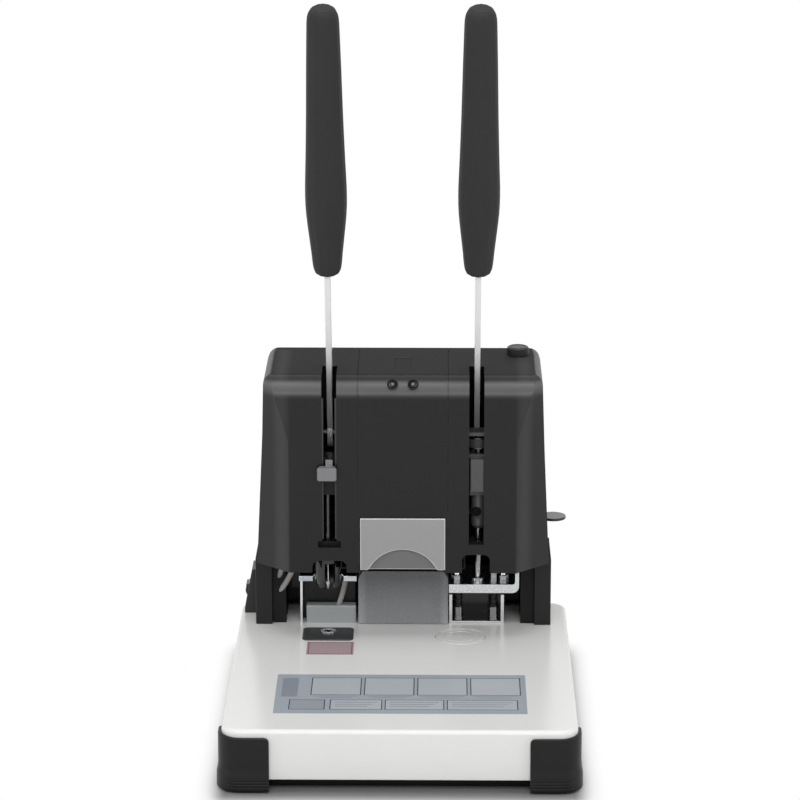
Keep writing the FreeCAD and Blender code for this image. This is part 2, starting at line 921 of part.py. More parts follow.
# ---------------------------------------------------------------- head frame

shaft_centre = (d.pivot_y, d.pivot_z)
bush_outer = d.shaft_radius + d.bush_wall
plate_inner = d.side_plate_inner
plate_outer = d.side_plate_inner + d.side_plate_sheet
bearing_outer = d.bearing_plate_inner + d.side_plate_sheet
shelf_top = d.shelf_bottom + d.shelf_sheet
rear_inner = d.head_back + d.rear_cover_depth - d.rear_cover_wall
rear_outer = d.head_back + d.rear_cover_depth
cover_screw_heights = (d.cover_screw_low, d.cover_screw_middle, d.cover_screw_high)
cover_screw_x = d.side_plate_inner + d.side_plate_sheet / 2
screw_end = d.side_plate_back - d.screw_grip

bearing_plates = []
bushes = []
for side, name in ((-1, "left_side_plate"), (1, "right_side_plate")):
    plate = block(
        across(side, plate_inner, plate_outer),
        (d.side_plate_front, d.side_plate_back),
        (d.table_height, d.side_plate_top),
    )
    flange = block(
        across(side, plate_outer, d.leg_inner),
        (d.side_plate_front, d.side_plate_front + d.leg_wall),
        (d.table_height, d.cover_bottom - d.flange_drop),
    )
    holes = [rod("x", shaft_centre, across(side, plate_inner, plate_outer), bush_outer)]
    for height in cover_screw_heights:
        holes.append(
            rod("y", (side * cover_screw_x, height), (screw_end, d.side_plate_back), d.screw_radius)
        )
    solids = [plate, flange]
    if side > 0:
        lug_top = d.stop_z - d.stop_sheet / 2 - d.free_gap
        solids.append(
            block(
                (plate_outer, d.stop_pivot_x + d.stop_arm_half),
                (d.stop_y - d.stop_arm_half, d.stop_y + d.stop_arm_half),
                (lug_top - d.stop_lug_sheet, lug_top),
            )
        )
        solids.append(
            rod(
                "z",
                (d.stop_pivot_x, d.stop_y),
                (lug_top, d.stop_z + d.stop_sheet / 2 + d.stop_pin_proud),
                d.stop_pin_radius,
            )
        )
    piece(name, cut(fuse(*solids), *holes))
    bearing = block(
        across(side, d.bearing_plate_inner, bearing_outer),
        (d.bearing_plate_front, d.side_plate_back),
        (shelf_top, d.bearing_plate_top),
    )
    bearing_span = across(side, d.bearing_plate_inner, bearing_outer)
    bearing_plates.append(cut(bearing, rod("x", shaft_centre, bearing_span, bush_outer)))
    for span in (bearing_span, across(side, plate_inner, plate_outer)):
        bushes.append(
            cut(
                rod("x", shaft_centre, span, bush_outer),
                rod("x", shaft_centre, span, d.shaft_radius + d.running_gap),
            )
        )
piece("bearing_plates", group(*bearing_plates))
piece("shaft_bushes", group(*bushes))

# the shelf carries the slide rails, lets the tools pass and holds the drawer in a cradle
shelf_z = (d.shelf_bottom, shelf_top)
ram_rod_hole = d.spindle_radius + d.free_gap
shelf = fuse(
    block((0 - plate_inner, plate_inner), (d.bearing_plate_front, d.side_plate_back), shelf_z),
    *[
        block(across(side, d.tongue_inner, d.tongue_outer), (d.shelf_front, d.bearing_plate_front), shelf_z)
        for side in (-1, 1)
    ],
    *[
        block(across(side, d.tongue_outer, plate_inner), (d.shelf_step_y, d.bearing_plate_front), shelf_z)
        for side in (-1, 1)
    ],
)
cradle_top = d.drawer_bottom - d.free_gap
cradle_inner = d.tongue_inner + d.cradle_gap
cradle_outer = cradle_inner + d.cradle_sheet
cradle_y = (d.shelf_front, d.shelf_front + d.cradle_depth)
cradle = cut(
    block((0 - cradle_outer, cradle_outer), cradle_y, (cradle_top - d.cradle_sheet, d.shelf_bottom)),
    block((0 - cradle_inner, cradle_inner), cradle_y, (cradle_top, d.shelf_bottom)),
)
piece(
    "head_shelf",
    cut(
        fuse(shelf, cradle),
        rod("z", left_station, shelf_z, ram_rod_hole),
        rod("z", (d.station_x, d.station_y), shelf_z, d.chuck_radius + d.chuck_clearance),
    ),
)

leg_z = (d.table_height, d.cover_bottom)
for side, name in ((-1, "left_leg_cover"), (1, "right_leg_cover")):
    shell = block(across(side, d.leg_inner, d.leg_outer), (d.throat_back, d.head_back), leg_z)
    hollow = block(
        across(side, d.leg_inner, d.leg_outer - d.leg_wall),
        (d.throat_back + d.leg_wall, d.head_back - d.leg_wall),
        (d.table_height, d.cover_bottom),
    )
    piece(name, cut(shell, hollow))

# ---------------------------------------------------------------- front cover


def plan_outline(half, front, facet, back):
    """The head's section at one height: a flat front, two facets, two sides and an open back."""
    return [
        (0 - half, back),
        (0 - half, front + facet),
        (facet - half, front),
        (half - facet, front),
        (half, front + facet),
        (half, back),
    ]


def lofted_head(inset, top_facet):
    """The head's outside (inset 0), or the hollow one wall thickness inside it."""
    facet_loss = inset * (2 - math.sqrt(2))
    knee_facet = d.cover_half_knee - d.front_face_half
    bottom_facet = d.cover_half_bottom - d.front_face_half
    levels = (
        (d.cover_bottom, d.cover_half_bottom, d.cover_front_bottom, bottom_facet),
        (d.cover_knee, d.cover_half_knee, d.cover_front_knee, knee_facet),
        (d.cover_top - inset, d.cover_half_top, d.cover_front_top, top_facet),
    )
    sections = []
    for height, half, front, facet in levels:
        section = doc.addObject("Sketcher::SketchObject", "Section")
        bind(section, "Placement.Base.z", height)
        draw_outline(
            section,
            plan_outline(half - inset, front + inset, facet - facet_loss, d.head_back),
        )
        sections.append(section)
    loft = doc.addObject("Part::Loft", "HeadLoft")
    loft.Sections = sections
    loft.Solid = True
    loft.Ruled = True
    return loft


def rounded(solid, radius, choose):
    """Rounds the edges of a solid that choose picks."""
    doc.recompute()
    edges = [
        (index, number_of(radius), number_of(radius))
        for index, edge in enumerate(solid.Shape.Edges, start=1)
        if choose(edge)
    ]
    result = doc.addObject("Part::Fillet", "Rounded")
    result.Base = solid
    result.Edges = edges
    return result


def is_top_rim(edge):
    """The top's front and side edges, but not the open back."""
    ends = edge.Vertexes
    at_top = all(near(v.Z, d.cover_top) for v in ends)
    return at_top and not all(near(v.Y, d.head_back) for v in ends)


past = 5
beyond_front = d.cover_front_bottom - past


def panel_groove(middle):
    """A shallow groove up the front, round the top edge and back along the top."""
    groove_x = (middle - d.groove_width / 2, middle + d.groove_width / 2)
    edge_start = d.cover_top - d.cover_front_round
    edge_end = d.cover_front_top + d.cover_front_round
    up_the_front = new_body("FrontGroove")
    pad(
        up_the_front,
        "YZ_Plane",
        groove_x,
        [
            (beyond_front, d.cover_bottom - past),
            (d.cover_front_bottom + d.groove_depth, d.cover_bottom - past),
            (d.cover_front_bottom + d.groove_depth, d.cover_bottom),
            (d.cover_front_knee + d.groove_depth, d.cover_knee),
            (d.cover_front_top + d.groove_depth, edge_start),
            (beyond_front, edge_start),
        ],
    )
    round_the_edge = cut(
        block(groove_x, (beyond_front, edge_end), (edge_start, d.cover_top + past)),
        rod("x", (edge_end, edge_start), groove_x, d.cover_front_round - d.groove_depth),
    )
    along_the_top = block(
        groove_x, (edge_end, d.head_back), (d.cover_top - d.groove_depth, d.cover_top + past)
    )
    return fuse(up_the_front, round_the_edge, along_the_top)


# the hollow keeps further back from the two top corners, which the wide rounding thins
head_outside = rounded(lofted_head(0, d.top_facet), d.cover_front_round, is_top_rim)
cover_cuts = [lofted_head(d.cover_wall, d.hollow_top_facet)]
beyond_wall = d.cover_front_top + d.cover_wall + d.cover_front_round
slots = (
    (-1, d.left_slot_bottom, d.left_arch_half, d.left_arch_top),
    (1, d.right_slot_bottom, d.right_arch_half, d.right_arch_top),
)
for side, bottom, arch_half, arch_top in slots:
    middle = side * d.slot_x
    cover_cuts.append(
        block(
            (middle - d.slot_half, middle + d.slot_half),
            (beyond_front, d.slot_back),
            (bottom, d.cover_top + past),
        )
    )
    arch = new_body("Arch")
    pad(
        arch,
        "XZ_Plane",
        (beyond_front, beyond_wall),
        rectangle((middle - arch_half, middle + arch_half), (d.cover_bottom - past, arch_top)),
    )
    round_edges(
        arch,
        d.arch_radius,
        lambda edge: runs_along(edge, "y") and near(edge.Vertexes[0].Z, arch_top),
    )
    cover_cuts.append(arch)
cover_cuts.append(
    block(
        (0 - d.slot_x - d.tee_half, d.tee_half - d.slot_x),
        (beyond_front, beyond_wall),
        (d.left_slot_bottom - d.tee_height, d.left_slot_bottom),
    )
)
cover_cuts.append(
    block(
        (0 - d.drawer_half - d.drawer_gap, d.drawer_half + d.drawer_gap),
        (beyond_front, beyond_wall),
        (d.cover_bottom - past, d.drawer_top + d.drawer_gap),
    )
)
stop_reach = d.stop_sheet / 2 + d.stop_slit_gap
stop_slit = (d.stop_z - stop_reach, d.stop_z + stop_reach)
cover_cuts.append(
    block(
        (d.stop_pivot_x, d.stop_pad_x + d.stop_pad_radius),
        (d.stop_y - d.stop_slit_half, d.stop_y + d.stop_slit_half),
        stop_slit,
    )
)
for side in (-1, 1):
    cover_cuts.append(panel_groove(side * d.panel_groove_x))
led_z = d.cover_top - d.led_drop
led_places = [(side * d.led_x, led_z) for side in (-1, 1)]
for place in led_places:
    cover_cuts.append(rod("y", place, (beyond_front, beyond_wall + past), d.led_radius))
knob_place = (d.knob_x, d.knob_y)
through_top = (d.cover_top - d.cover_wall - past, d.cover_top + past)
cover_cuts.append(rod("z", knob_place, through_top, d.knob_stem_radius + d.free_gap))
cover_cuts.append(
    block(
        (0 - d.recess_half, d.recess_half),
        (d.recess_front, d.recess_back),
        (d.cover_top - d.recess_depth, d.cover_top + past),
    )
)
piece("front_cover", cut(head_outside, *cover_cuts))

# ---------------------------------------------------------------- rear cover, screws and inlet


def back_outline(inset):
    """The back of the legs and the head as one outline, or the same inside a wall."""
    half = [
        (d.leg_outer - inset, d.table_height + inset),
        (d.leg_outer - inset, d.cover_bottom),
        (d.cover_half_bottom - inset, d.cover_bottom),
        (d.cover_half_knee - inset, d.cover_knee),
        (d.cover_half_top - inset, d.cover_top - d.cover_front_round),
        (d.cover_half_top - d.cover_front_round, d.cover_top - inset),
    ]
    return half + [(0 - u, v) for u, v in reversed(half)]


rear = new_body("Rear")
pad(rear, "XZ_Plane", (d.head_back, rear_outer), back_outline(0))
pocket(rear, "XZ_Plane", (d.head_back, rear_inner), back_outline(d.rear_cover_wall))
inlet_back = rear_outer + d.inlet_reach
inlet_x = (d.inlet_x - d.inlet_width / 2, d.inlet_x + d.inlet_width / 2)
inlet_z = (d.inlet_z - d.inlet_height / 2, d.inlet_z + d.inlet_height / 2)
inlet_body_x = (inlet_x[0] + d.inlet_rim, inlet_x[1] - d.inlet_rim)
inlet_body_z = (inlet_z[0] + d.inlet_rim / 2, inlet_z[1] - d.inlet_rim / 2)
rear_wall = (rear_inner, rear_outer)
rear_holes = [block(inlet_body_x, rear_wall, inlet_body_z)]
rear_screws = []
for side in (-1, 1):
    for height in cover_screw_heights:
        place = (side * cover_screw_x, height)
        rear_holes.append(rod("y", place, rear_wall, d.screw_radius))
        rear_screws.append(
            fuse(
                rod("y", place, (screw_end, rear_outer), d.screw_radius),
                rod("y", place, (rear_outer, rear_outer + d.screw_head_height), d.screw_head_radius),
            )
        )
piece("rear_cover", cut(rear, *rear_holes))
piece("case_screws", group(*foot_screws, *rear_screws))

inlet_front = rear_inner - d.inlet_depth
socket_floor = inlet_front + d.inlet_floor
socket_y = (socket_floor, inlet_back)
pin_y = (socket_floor, inlet_back - d.inlet_pin_setback)
inlet_pins = []
for column, rise in ((-1, 0 - d.inlet_pin_rise), (0, d.inlet_pin_rise), (1, 0 - d.inlet_pin_rise)):
    pin_x = d.inlet_x + column * d.inlet_pin_pitch
    pin_z = d.inlet_z + rise
    inlet_pins.append(
        block(
            (pin_x - d.inlet_pin_width / 2, pin_x + d.inlet_pin_width / 2),
            pin_y,
            (pin_z - d.inlet_pin_height / 2, pin_z + d.inlet_pin_height / 2),
        )
    )
inlet_shell = cut(
    fuse(
        block(inlet_x, (rear_outer, rear_outer + d.inlet_flange), inlet_z),
        block(inlet_body_x, (inlet_front, inlet_back), inlet_body_z),
    ),
    block(
        (inlet_body_x[0] + d.inlet_wall, inlet_body_x[1] - d.inlet_wall),
        socket_y,
        (inlet_body_z[0] + d.inlet_wall, inlet_body_z[1] - d.inlet_wall),
    ),
)
piece("power_inlet", fuse(inlet_shell, *inlet_pins))

# power switch in its own small housing on the left leg
switch_axis = (d.switch_inset - d.switch_reach_bottom, d.table_height + d.switch_lift)
switch_y = (d.switch_front + d.switch_margin, d.switch_back - d.switch_margin)
housing = new_body("SwitchHousing")
pad(
    housing,
    "XZ_Plane",
    (d.switch_front, d.switch_back),
    [
        (0 - d.leg_outer, d.table_height),
        (0 - d.switch_reach_bottom, d.table_height),
        (0 - d.switch_reach_bottom, d.table_height + d.switch_foot),
        (0 - d.switch_reach_top, d.switch_top),
        (0 - d.leg_outer, d.switch_top),
    ],
)
switch_hole = d.switch_radius + d.free_gap
piece("switch_housing", cut(housing, rod("y", switch_axis, switch_y, switch_hole)))
rocker_y = (switch_y[0] + d.free_gap, switch_y[1] - d.free_gap)
rocker_x = (switch_axis[0] - d.switch_radius * 2, switch_axis[0] + d.switch_rib_radius)
rocker_z = (switch_axis[1] - d.switch_radius * 2, switch_axis[1] + d.switch_radius * 2)
rib_turn = math.radians(d.switch_rib_turn.value)
rib_place = (
    switch_axis[0] - d.switch_radius * math.cos(rib_turn),
    switch_axis[1] + d.switch_radius * math.sin(rib_turn),
)
rocker = fuse(
    rod("y", switch_axis, rocker_y, d.switch_radius),
    rod("y", rib_place, rocker_y, d.switch_rib_radius),
)
piece("power_switch", common(rocker, block(rocker_x, rocker_y, rocker_z)))

# ---------------------------------------------------------------- lamps, knob and stop lever

led_y = (d.cover_front_top - d.led_proud, d.cover_front_top - d.led_proud + d.led_length)
leds = [rod("y", place, led_y, d.led_radius) for place in led_places]
piece("indicator_leds", group(*leds))

knob_low = d.cover_top + d.free_gap
knob_stem = (d.cover_top - d.knob_stem_length, knob_low)
piece(
    "power_knob",
    fuse(
        rod("z", knob_place, (knob_low, knob_low + d.knob_height), d.knob_radius),
        rod("z", knob_place, knob_stem, d.knob_stem_radius),
    ),
)

stop_span = (d.stop_z - d.stop_sheet / 2, d.stop_z + d.stop_sheet / 2)
stop_y = (d.stop_y - d.stop_arm_half, d.stop_y + d.stop_arm_half)
piece(
    "stop_lever",
    cut(
        fuse(
            rod("z", (d.stop_pad_x, d.stop_y), stop_span, d.stop_pad_radius),
            block((d.stop_pivot_x, d.stop_pad_x), stop_y, stop_span),
            rod("z", (d.stop_pivot_x, d.stop_y), stop_span, d.stop_arm_half),
        ),
        rod("z", (d.stop_pivot_x, d.stop_y), stop_span, d.stop_pin_radius + d.running_gap),
    ),
)

# ---------------------------------------------------------------- tube drawer and chip bin

drawer_front = d.cover_front_bottom - d.drawer_proud
drawer_back = drawer_front + d.drawer_front_sheet + d.drawer_depth
notch_radius = d.drawer_notch_half * d.drawer_notch_half / d.drawer_notch_height / 2 + (
    d.drawer_notch_height / 2
)
tray_half = d.drawer_half - d.drawer_tray_inset
tray_front = drawer_front + d.drawer_front_sheet
tray_low = d.drawer_bottom
drawer_panel = cut(
    block(
        (0 - d.drawer_half, d.drawer_half), (drawer_front, tray_front), (tray_low, d.drawer_top)
    ),
    rod(
        "y",
        (0, d.drawer_bottom + d.drawer_notch_height - notch_radius),
        (drawer_front, tray_front),
        notch_radius,
    ),
)
drawer_tray = cut(
    block((0 - tray_half, tray_half), (tray_front, drawer_back), (tray_low, d.drawer_tray_top)),
    block(
        (d.drawer_wall - tray_half, tray_half - d.drawer_wall),
        (tray_front + d.drawer_wall, drawer_back - d.drawer_wall),
        (tray_low + d.drawer_wall, d.drawer_tray_top),
    ),
)
piece("tube_drawer", fuse(drawer_panel, drawer_tray))

bin_low = d.table_height + d.free_gap
bin_top = bin_low + d.bin_height
bin_back = d.bin_front + d.bin_depth
bin_top_half = d.bin_half - d.bin_chamfer
chip_box = new_body("ChipBox")
pad(
    chip_box,
    "XZ_Plane",
    (d.bin_front, bin_back),
    [
        (0 - d.bin_half, bin_low),
        (d.bin_half, bin_low),
        (d.bin_half, bin_top - d.bin_chamfer_height),
        (bin_top_half, bin_top),
        (0 - bin_top_half, bin_top),
        (0 - d.bin_half, bin_top - d.bin_chamfer_height),
    ],
)
bin_hollow_half = bin_top_half - d.bin_wall
pocket(
    chip_box,
    "XY_Plane",
    (bin_low + d.bin_wall, bin_top),
    rectangle(
        (0 - bin_hollow_half, bin_hollow_half), (d.bin_front + d.bin_wall, bin_back - d.bin_wall)
    ),
)
piece("chip_bin", chip_box)

# ---------------------------------------------------------------- levers, shafts and sectors

gear_half = d.gear_sheet / 2
pitch_radius = d.gear_module * d.sector_teeth / 2
pitch_y = d.pivot_y - pitch_radius
ram_travel = pitch_radius.value * math.radians(d.lever_swing.value)
tooth_pitch = math.pi * d.gear_module.value
pressure = math.tan(math.radians(d.pressure_angle.value))
addendum = 0.95 * d.gear_module.value
dedendum = 1.25 * d.gear_module.value


def tooth_half(height):
    """Half a tooth's thickness at a height above its pitch line."""
    return tooth_pitch / 4 - d.tooth_slack.value - height * pressure


def sector_shape():
    """A toothed sector about the x axis, with its first tooth pointing at -y at rest."""
    tooth_turn = 360 / d.sector_teeth.value
    last = math.floor((d.lever_swing.value + d.sector_margin.value) / tooth_turn)
    corners = [(0, 0)]
    for index in range(-1, last + 1):
        angle = math.radians(index * tooth_turn)
        for height, flank in (
            (-dedendum, -1),
            (addendum, -1),
            (addendum, 1),
            (-dedendum, 1),
        ):
            along = pitch_radius.value + height
            aside = flank * tooth_half(height)
            corners.append(
                (
                    -along * math.cos(angle) + aside * math.sin(angle),
                    along * math.sin(angle) + aside * math.cos(angle),
                )
            )
    wire = Part.makePolygon(
        [FreeCAD.Vector(0, y, z) for y, z in corners + corners[:1]]
    )
    thickness = FreeCAD.Vector(d.gear_sheet.value, 0, 0)
    along_x = FreeCAD.Vector(1, 0, 0)
    centre = FreeCAD.Vector(0, 0, 0)
    hub = Part.makeCylinder(d.sector_hub_radius.value, d.gear_sheet.value, centre, along_x)
    bore = Part.makeCylinder(d.shaft_radius.value, d.gear_sheet.value, centre, along_x)
    return Part.Face(wire).extrude(thickness).fuse(hub).cut(bore)


def rack_shape():
    """The rack at rest, with a gap at the pivot's height, seen along x from x = 0."""
    back = d.arm_front.value + d.rack_back.value
    foot = d.block_top.value - 1
    top_tooth = math.ceil((ram_travel + 4) / tooth_pitch)
    corners = [(back, foot), (pitch_y.value - dedendum, foot)]
    for index in range(-1, top_tooth):
        middle = d.pivot_z.value + (index + 0.5) * tooth_pitch
        for height, flank in ((-dedendum, -1), (addendum, -1), (addendum, 1), (-dedendum, 1)):
            corners.append((pitch_y.value + height, middle + flank * tooth_half(height)))
    top = corners[-1][1] + 1
    corners.append((pitch_y.value - dedendum, top))
    corners.append((back, top))
    wire = Part.makePolygon([FreeCAD.Vector(0, y, z) for y, z in corners + corners[:1]])
    return Part.Face(wire).extrude(FreeCAD.Vector(d.gear_sheet.value, 0, 0))


def lever_bar():
    """The flat lever upright, with the shaft's axis at the origin."""
    thickness = (0 - d.lever_sheet / 2, d.lever_sheet / 2)
    width = (0 - d.lever_width / 2, d.lever_width / 2)
    tang = (d.tang_inset - d.lever_width / 2, d.lever_width / 2 - d.tang_inset)
    return cut(
        fuse(
            rod("x", (0, 0), thickness, d.lever_eye_radius),
            block(thickness, width, (0, d.grip_start)),
            block(thickness, tang, (d.grip_start, d.grip_start + d.tang_length)),
        ),
        rod("x", (0, 0), thickness, d.shaft_radius),
    )


def grip():
    """The moulded grip upright, over the lever's tang."""
    body = new_body("Grip")
    sketch = sketch_on(body, "XZ_Plane", 0)
    shoulder = d.grip_start + d.grip_length - d.grip_shoulder_drop
    draw_outline(
        sketch,
        [
            (0, d.grip_start),
            (d.grip_end_radius, d.grip_start),
            (d.grip_waist_radius, d.grip_start + d.grip_waist_at),
            (d.grip_belly_radius, d.grip_start + d.grip_belly_from),
            (d.grip_belly_radius, d.grip_start + d.grip_belly_to),
            (d.grip_shoulder_radius, shoulder),
            (d.grip_top_radius, d.grip_start + d.grip_length),
            (0, d.grip_start + d.grip_length),
        ],
    )
    turned = body.newObject("PartDesign::Revolution", "Revolution")
    turned.Profile = sketch
    turned.ReferenceAxis = (sketch, ["V_Axis"])
    turned.Angle = 360
    tang = (d.tang_inset - d.lever_width / 2, d.lever_width / 2 - d.tang_inset)
    thickness = (0 - d.lever_sheet / 2, d.lever_sheet / 2)
    return cut(body, block(thickness, tang, (d.grip_start, d.grip_start + d.tang_length)))


return_springs = []
for side, hand in ((-1, "left"), (1, "right")):
    at_pivot = (side * d.lever_x, d.pivot_y, d.pivot_z)
    piece(f"{hand}_lever_bar", set_at(lever_bar(), *at_pivot, d.lever_tilt))
    piece(f"{hand}_grip", set_at(grip(), *at_pivot, d.lever_tilt))
    shaft_span = across(side, d.bearing_plate_inner - d.shaft_proud, plate_outer + d.shaft_proud)
    piece(f"{hand}_lever_shaft", rod("x", shaft_centre, shaft_span, d.shaft_radius))
    sector = feature("Sector", sector_shape())
    sector_x = side * d.gear_x - gear_half
    piece(f"{hand}_sector_gear", set_at(sector, sector_x, d.pivot_y, d.pivot_z))
    wire_radius = d.spring_wire.value / 2
    coil_radius = d.shaft_radius.value + d.free_gap.value + wire_radius
    coil_length = d.spring_length.value
    coil_pitch = d.spring_wire.value * d.spring_pitch.value
    coil = Part.makeHelix(coil_pitch, coil_length, coil_radius)
    ring = Part.Wire(
        Part.makeCircle(
            wire_radius, FreeCAD.Vector(coil_radius, 0, 0), FreeCAD.Vector(0, 1, 0)
        )
    )
    spring = feature("Coil", Part.Wire(coil).makePipeShell([ring], True, True))
    spring_start = side * d.spring_x.value - coil_length / 2
    spring.Placement = FreeCAD.Placement(
        FreeCAD.Vector(spring_start, d.pivot_y.value, d.pivot_z.value),
        FreeCAD.Rotation(FreeCAD.Vector(0, 1, 0), 90),
    )
    return_springs.append(spring)
piece("lever_return_springs", group(*return_springs))

# ---------------------------------------------------------------- slide rails and sliding blocks

rails = []
for side in (-1, 1):
    rail_inner = d.gear_x + gear_half + d.rail_gap
    rail_x = across(side, rail_inner, rail_inner + d.rail_width)
    stay_x = across(side, rail_inner, plate_inner)
    rails.append(
        fuse(
            block(rail_x, (d.rail_front, d.rail_back), (shelf_top, d.rail_top)),
            block(
                stay_x,
                (d.rail_front + d.rail_stay_inset, d.side_plate_front + d.rail_stay_overlap),
                (d.rail_top - d.rail_stay_sheet, d.rail_top),
            ),
        )
    )
piece("slide_rails", group(*rails))


def sliding_block(side):
    """The parts of a block that a rail and a sector guide: boss, arm, gibs and rack."""
    tall = (d.block_bottom, d.block_top)
    low = (d.block_bottom, d.gib_back_top)
    web_outer = d.gear_x + gear_half + d.gib_gap
    web_x = across(side, web_outer - d.gib_sheet, web_outer)
    finger_x = across(side, web_outer, web_outer + d.gib_finger)
    front_gap = d.rail_front - d.free_gap
    back_gap = d.rail_back + d.free_gap
    gib_front = d.rail_front - d.gib_sheet
    gib_back = d.rail_back + d.gib_sheet
    return [
        block(across(side, d.block_inner, d.boss_outer), (d.boss_front, d.boss_back), tall),
        block(across(side, d.boss_outer, web_outer), (d.arm_front, d.arm_back), tall),
        block(web_x, (gib_front, d.arm_back), tall),
        block(web_x, (d.arm_back, gib_back), low),
        block(finger_x, (gib_front, front_gap), tall),
        block(finger_x, (back_gap, gib_back), low),
        set_at(feature("Rack", rack_shape()), side * d.gear_x - gear_half, 0, 0),
    ]


# ---------------------------------------------------------------- left tool: heated rivet needle

slot_left = 0 - d.slot_x
ram_neck_x = (slot_left - d.ram_neck_half, slot_left + d.ram_neck_half)
ram_neck_z = (d.ram_head_bottom - d.ram_neck_drop, d.block_top)
ram_head_back = d.ram_head_front + d.ram_head_sheet
piece(
    "ram_block",
    fuse(
        *sliding_block(-1),
        block(ram_neck_x, (ram_head_back, d.boss_front), ram_neck_z),
        block(
            (left_x - d.ram_head_half, left_x + d.ram_head_half),
            (d.ram_head_front, ram_head_back),
            (d.ram_head_bottom, d.ram_head_top),
        ),
        rod("z", left_station, (d.heater_top, d.block_bottom), d.spindle_radius),
    ),
)

liner_y = (d.liner_front, d.boss_front - d.free_gap)
liner_strips = []
liner_low = d.left_slot_bottom + d.liner_lift
liner_foot_y = (d.liner_front + d.liner_foot_setback, liner_y[1])
for edge in (-1, 1):
    slot_edge = slot_left + edge * d.slot_half
    inwards = slot_edge - edge * d.liner_sheet
    outwards = slot_edge + edge * d.liner_foot
    strip_x = (slot_edge, inwards) if edge < 0 else (inwards, slot_edge)
    toe_x = (outwards, slot_edge) if edge < 0 else (slot_edge, outwards)
    liner_strips.append(
        fuse(
            block(strip_x, liner_y, (liner_low, d.rail_top - d.liner_drop)),
            block(toe_x, liner_foot_y, (liner_low, liner_low + d.liner_foot_height)),
        )
    )
piece("left_slot_liner", group(*liner_strips))

needle_top = d.heater_bottom + d.needle_seat
needle_shoulder = d.needle_tip + d.needle_point
heater_span = (d.heater_bottom, d.heater_top)
nozzle_span = (d.fork_bottom, d.heater_bottom)
heater_grooves = []
for index in range(3):
    groove_low = d.heater_top - d.fin_top - index * d.fin_pitch
    groove_z = (groove_low, groove_low + d.fin_width)
    heater_grooves.append(
        cut(
            rod("z", left_station, groove_z, d.heater_radius),
            rod("z", left_station, groove_z, d.heater_radius - d.fin_width),
        )
    )
piece(
    "upper_heater",
    cut(
        fuse(
            rod("z", left_station, heater_span, d.heater_radius),
            rod("z", left_station, nozzle_span, d.nozzle_radius),
        ),
        rod("z", left_station, (d.fork_bottom, needle_top), d.needle_radius),
        *heater_grooves,
    ),
)
piece(
    "rivet_needle",
    fuse(
        rod("z", left_station, (needle_shoulder, needle_top), d.needle_radius),
        rod("z", left_station, (d.needle_tip, needle_shoulder), d.needle_tip_radius, d.needle_radius),
    ),
)

fork_x = (0 - d.fork_left, 0 - d.fork_right)
fork_top = d.fork_bottom + d.fork_sheet
fork_z = (d.fork_bottom, fork_top)
fork_wall_z = (d.table_height, d.fork_bottom)
piece(
    "stripper_fork",
    fuse(
        cut(
            block(fork_x, (d.fork_front, d.fork_back), fork_z),
            rod("z", (left_x, d.fork_front), fork_z, d.fork_gap_radius),
        ),
        block(
            (0 - d.fork_left, d.fork_leg_sheet - d.fork_left),
            (d.fork_back - d.fork_leg_depth, d.fork_back),
            fork_wall_z,
        ),
        block(
            (0 - d.fork_left, 0 - d.fork_right - d.fork_wall_inset),
            (d.fork_back - d.fork_leg_sheet, d.fork_back),
            fork_wall_z,
        ),
    ),
)

lower_back = d.fork_back - d.lower_housing_gap
lower_y = (lower_back - d.lower_housing_depth, lower_back)
lower_top = d.table_height + d.lower_housing_height
lower_x = (
    d.fork_leg_sheet + d.lower_housing_side_gap - d.fork_left,
    0 - d.fork_right - d.lower_housing_inner_gap,
)
lower_shell = new_body("LowerHousing")
pad(lower_shell, "XY_Plane", (d.table_height, lower_top), rectangle(lower_x, lower_y))
round_edges(
    lower_shell,
    d.lower_housing_round,
    lambda edge: runs_along(edge, "x") and near(edge.Vertexes[0].Z, lower_top),
)
piece("lower_heater_housing", lower_shell)


def cable(start, middle, end):
    """A round cable bent to one arc through three points."""
    points = [FreeCAD.Vector(*[number_of(amount) for amount in p]) for p in (start, middle, end)]
    arc = Part.Arc(*points)
    tangent = arc.toShape().tangentAt(arc.toShape().FirstParameter)
    ring = Part.Wire(Part.makeCircle(d.cable_radius.value, points[0], tangent))
    return feature("Cable", Part.Wire(arc.toShape()).makePipeShell([ring], True, True))


flange_front = d.side_plate_front
beyond = 4
above_flange = block((-130, -80), (d.station_y, flange_front), (d.table_height, d.shelf_bottom))
above_housing = block((-75, -40), (lower_y[0], lower_y[1]), (lower_top, d.fork_bottom))
cables = [
    common(
        cable(
            (-104, flange_front - 6, d.shelf_bottom + beyond),
            (-108.5, flange_front - 5, d.cover_bottom - 3),
            (-114.5, flange_front + beyond, d.cover_bottom - 22),
        ),
        above_flange,
    ),
    common(
        cable(
            (-95, flange_front - 8, d.shelf_bottom + beyond),
            (-100, flange_front - 6, d.cover_bottom - 8),
            (-115, flange_front + beyond, d.cover_bottom - 36),
        ),
        above_flange,
    ),
    common(
        cable(
            (-51.4, lower_y[0] + 6, d.fork_bottom + beyond),
            (-54.5, lower_y[0] + 5, 86),
            (-60.4, lower_y[0] + 6, lower_top - beyond),
        ),
        above_housing,
    ),
]
piece("heater_cables", group(*cables))

# ---------------------------------------------------------------- right tool: hollow drill

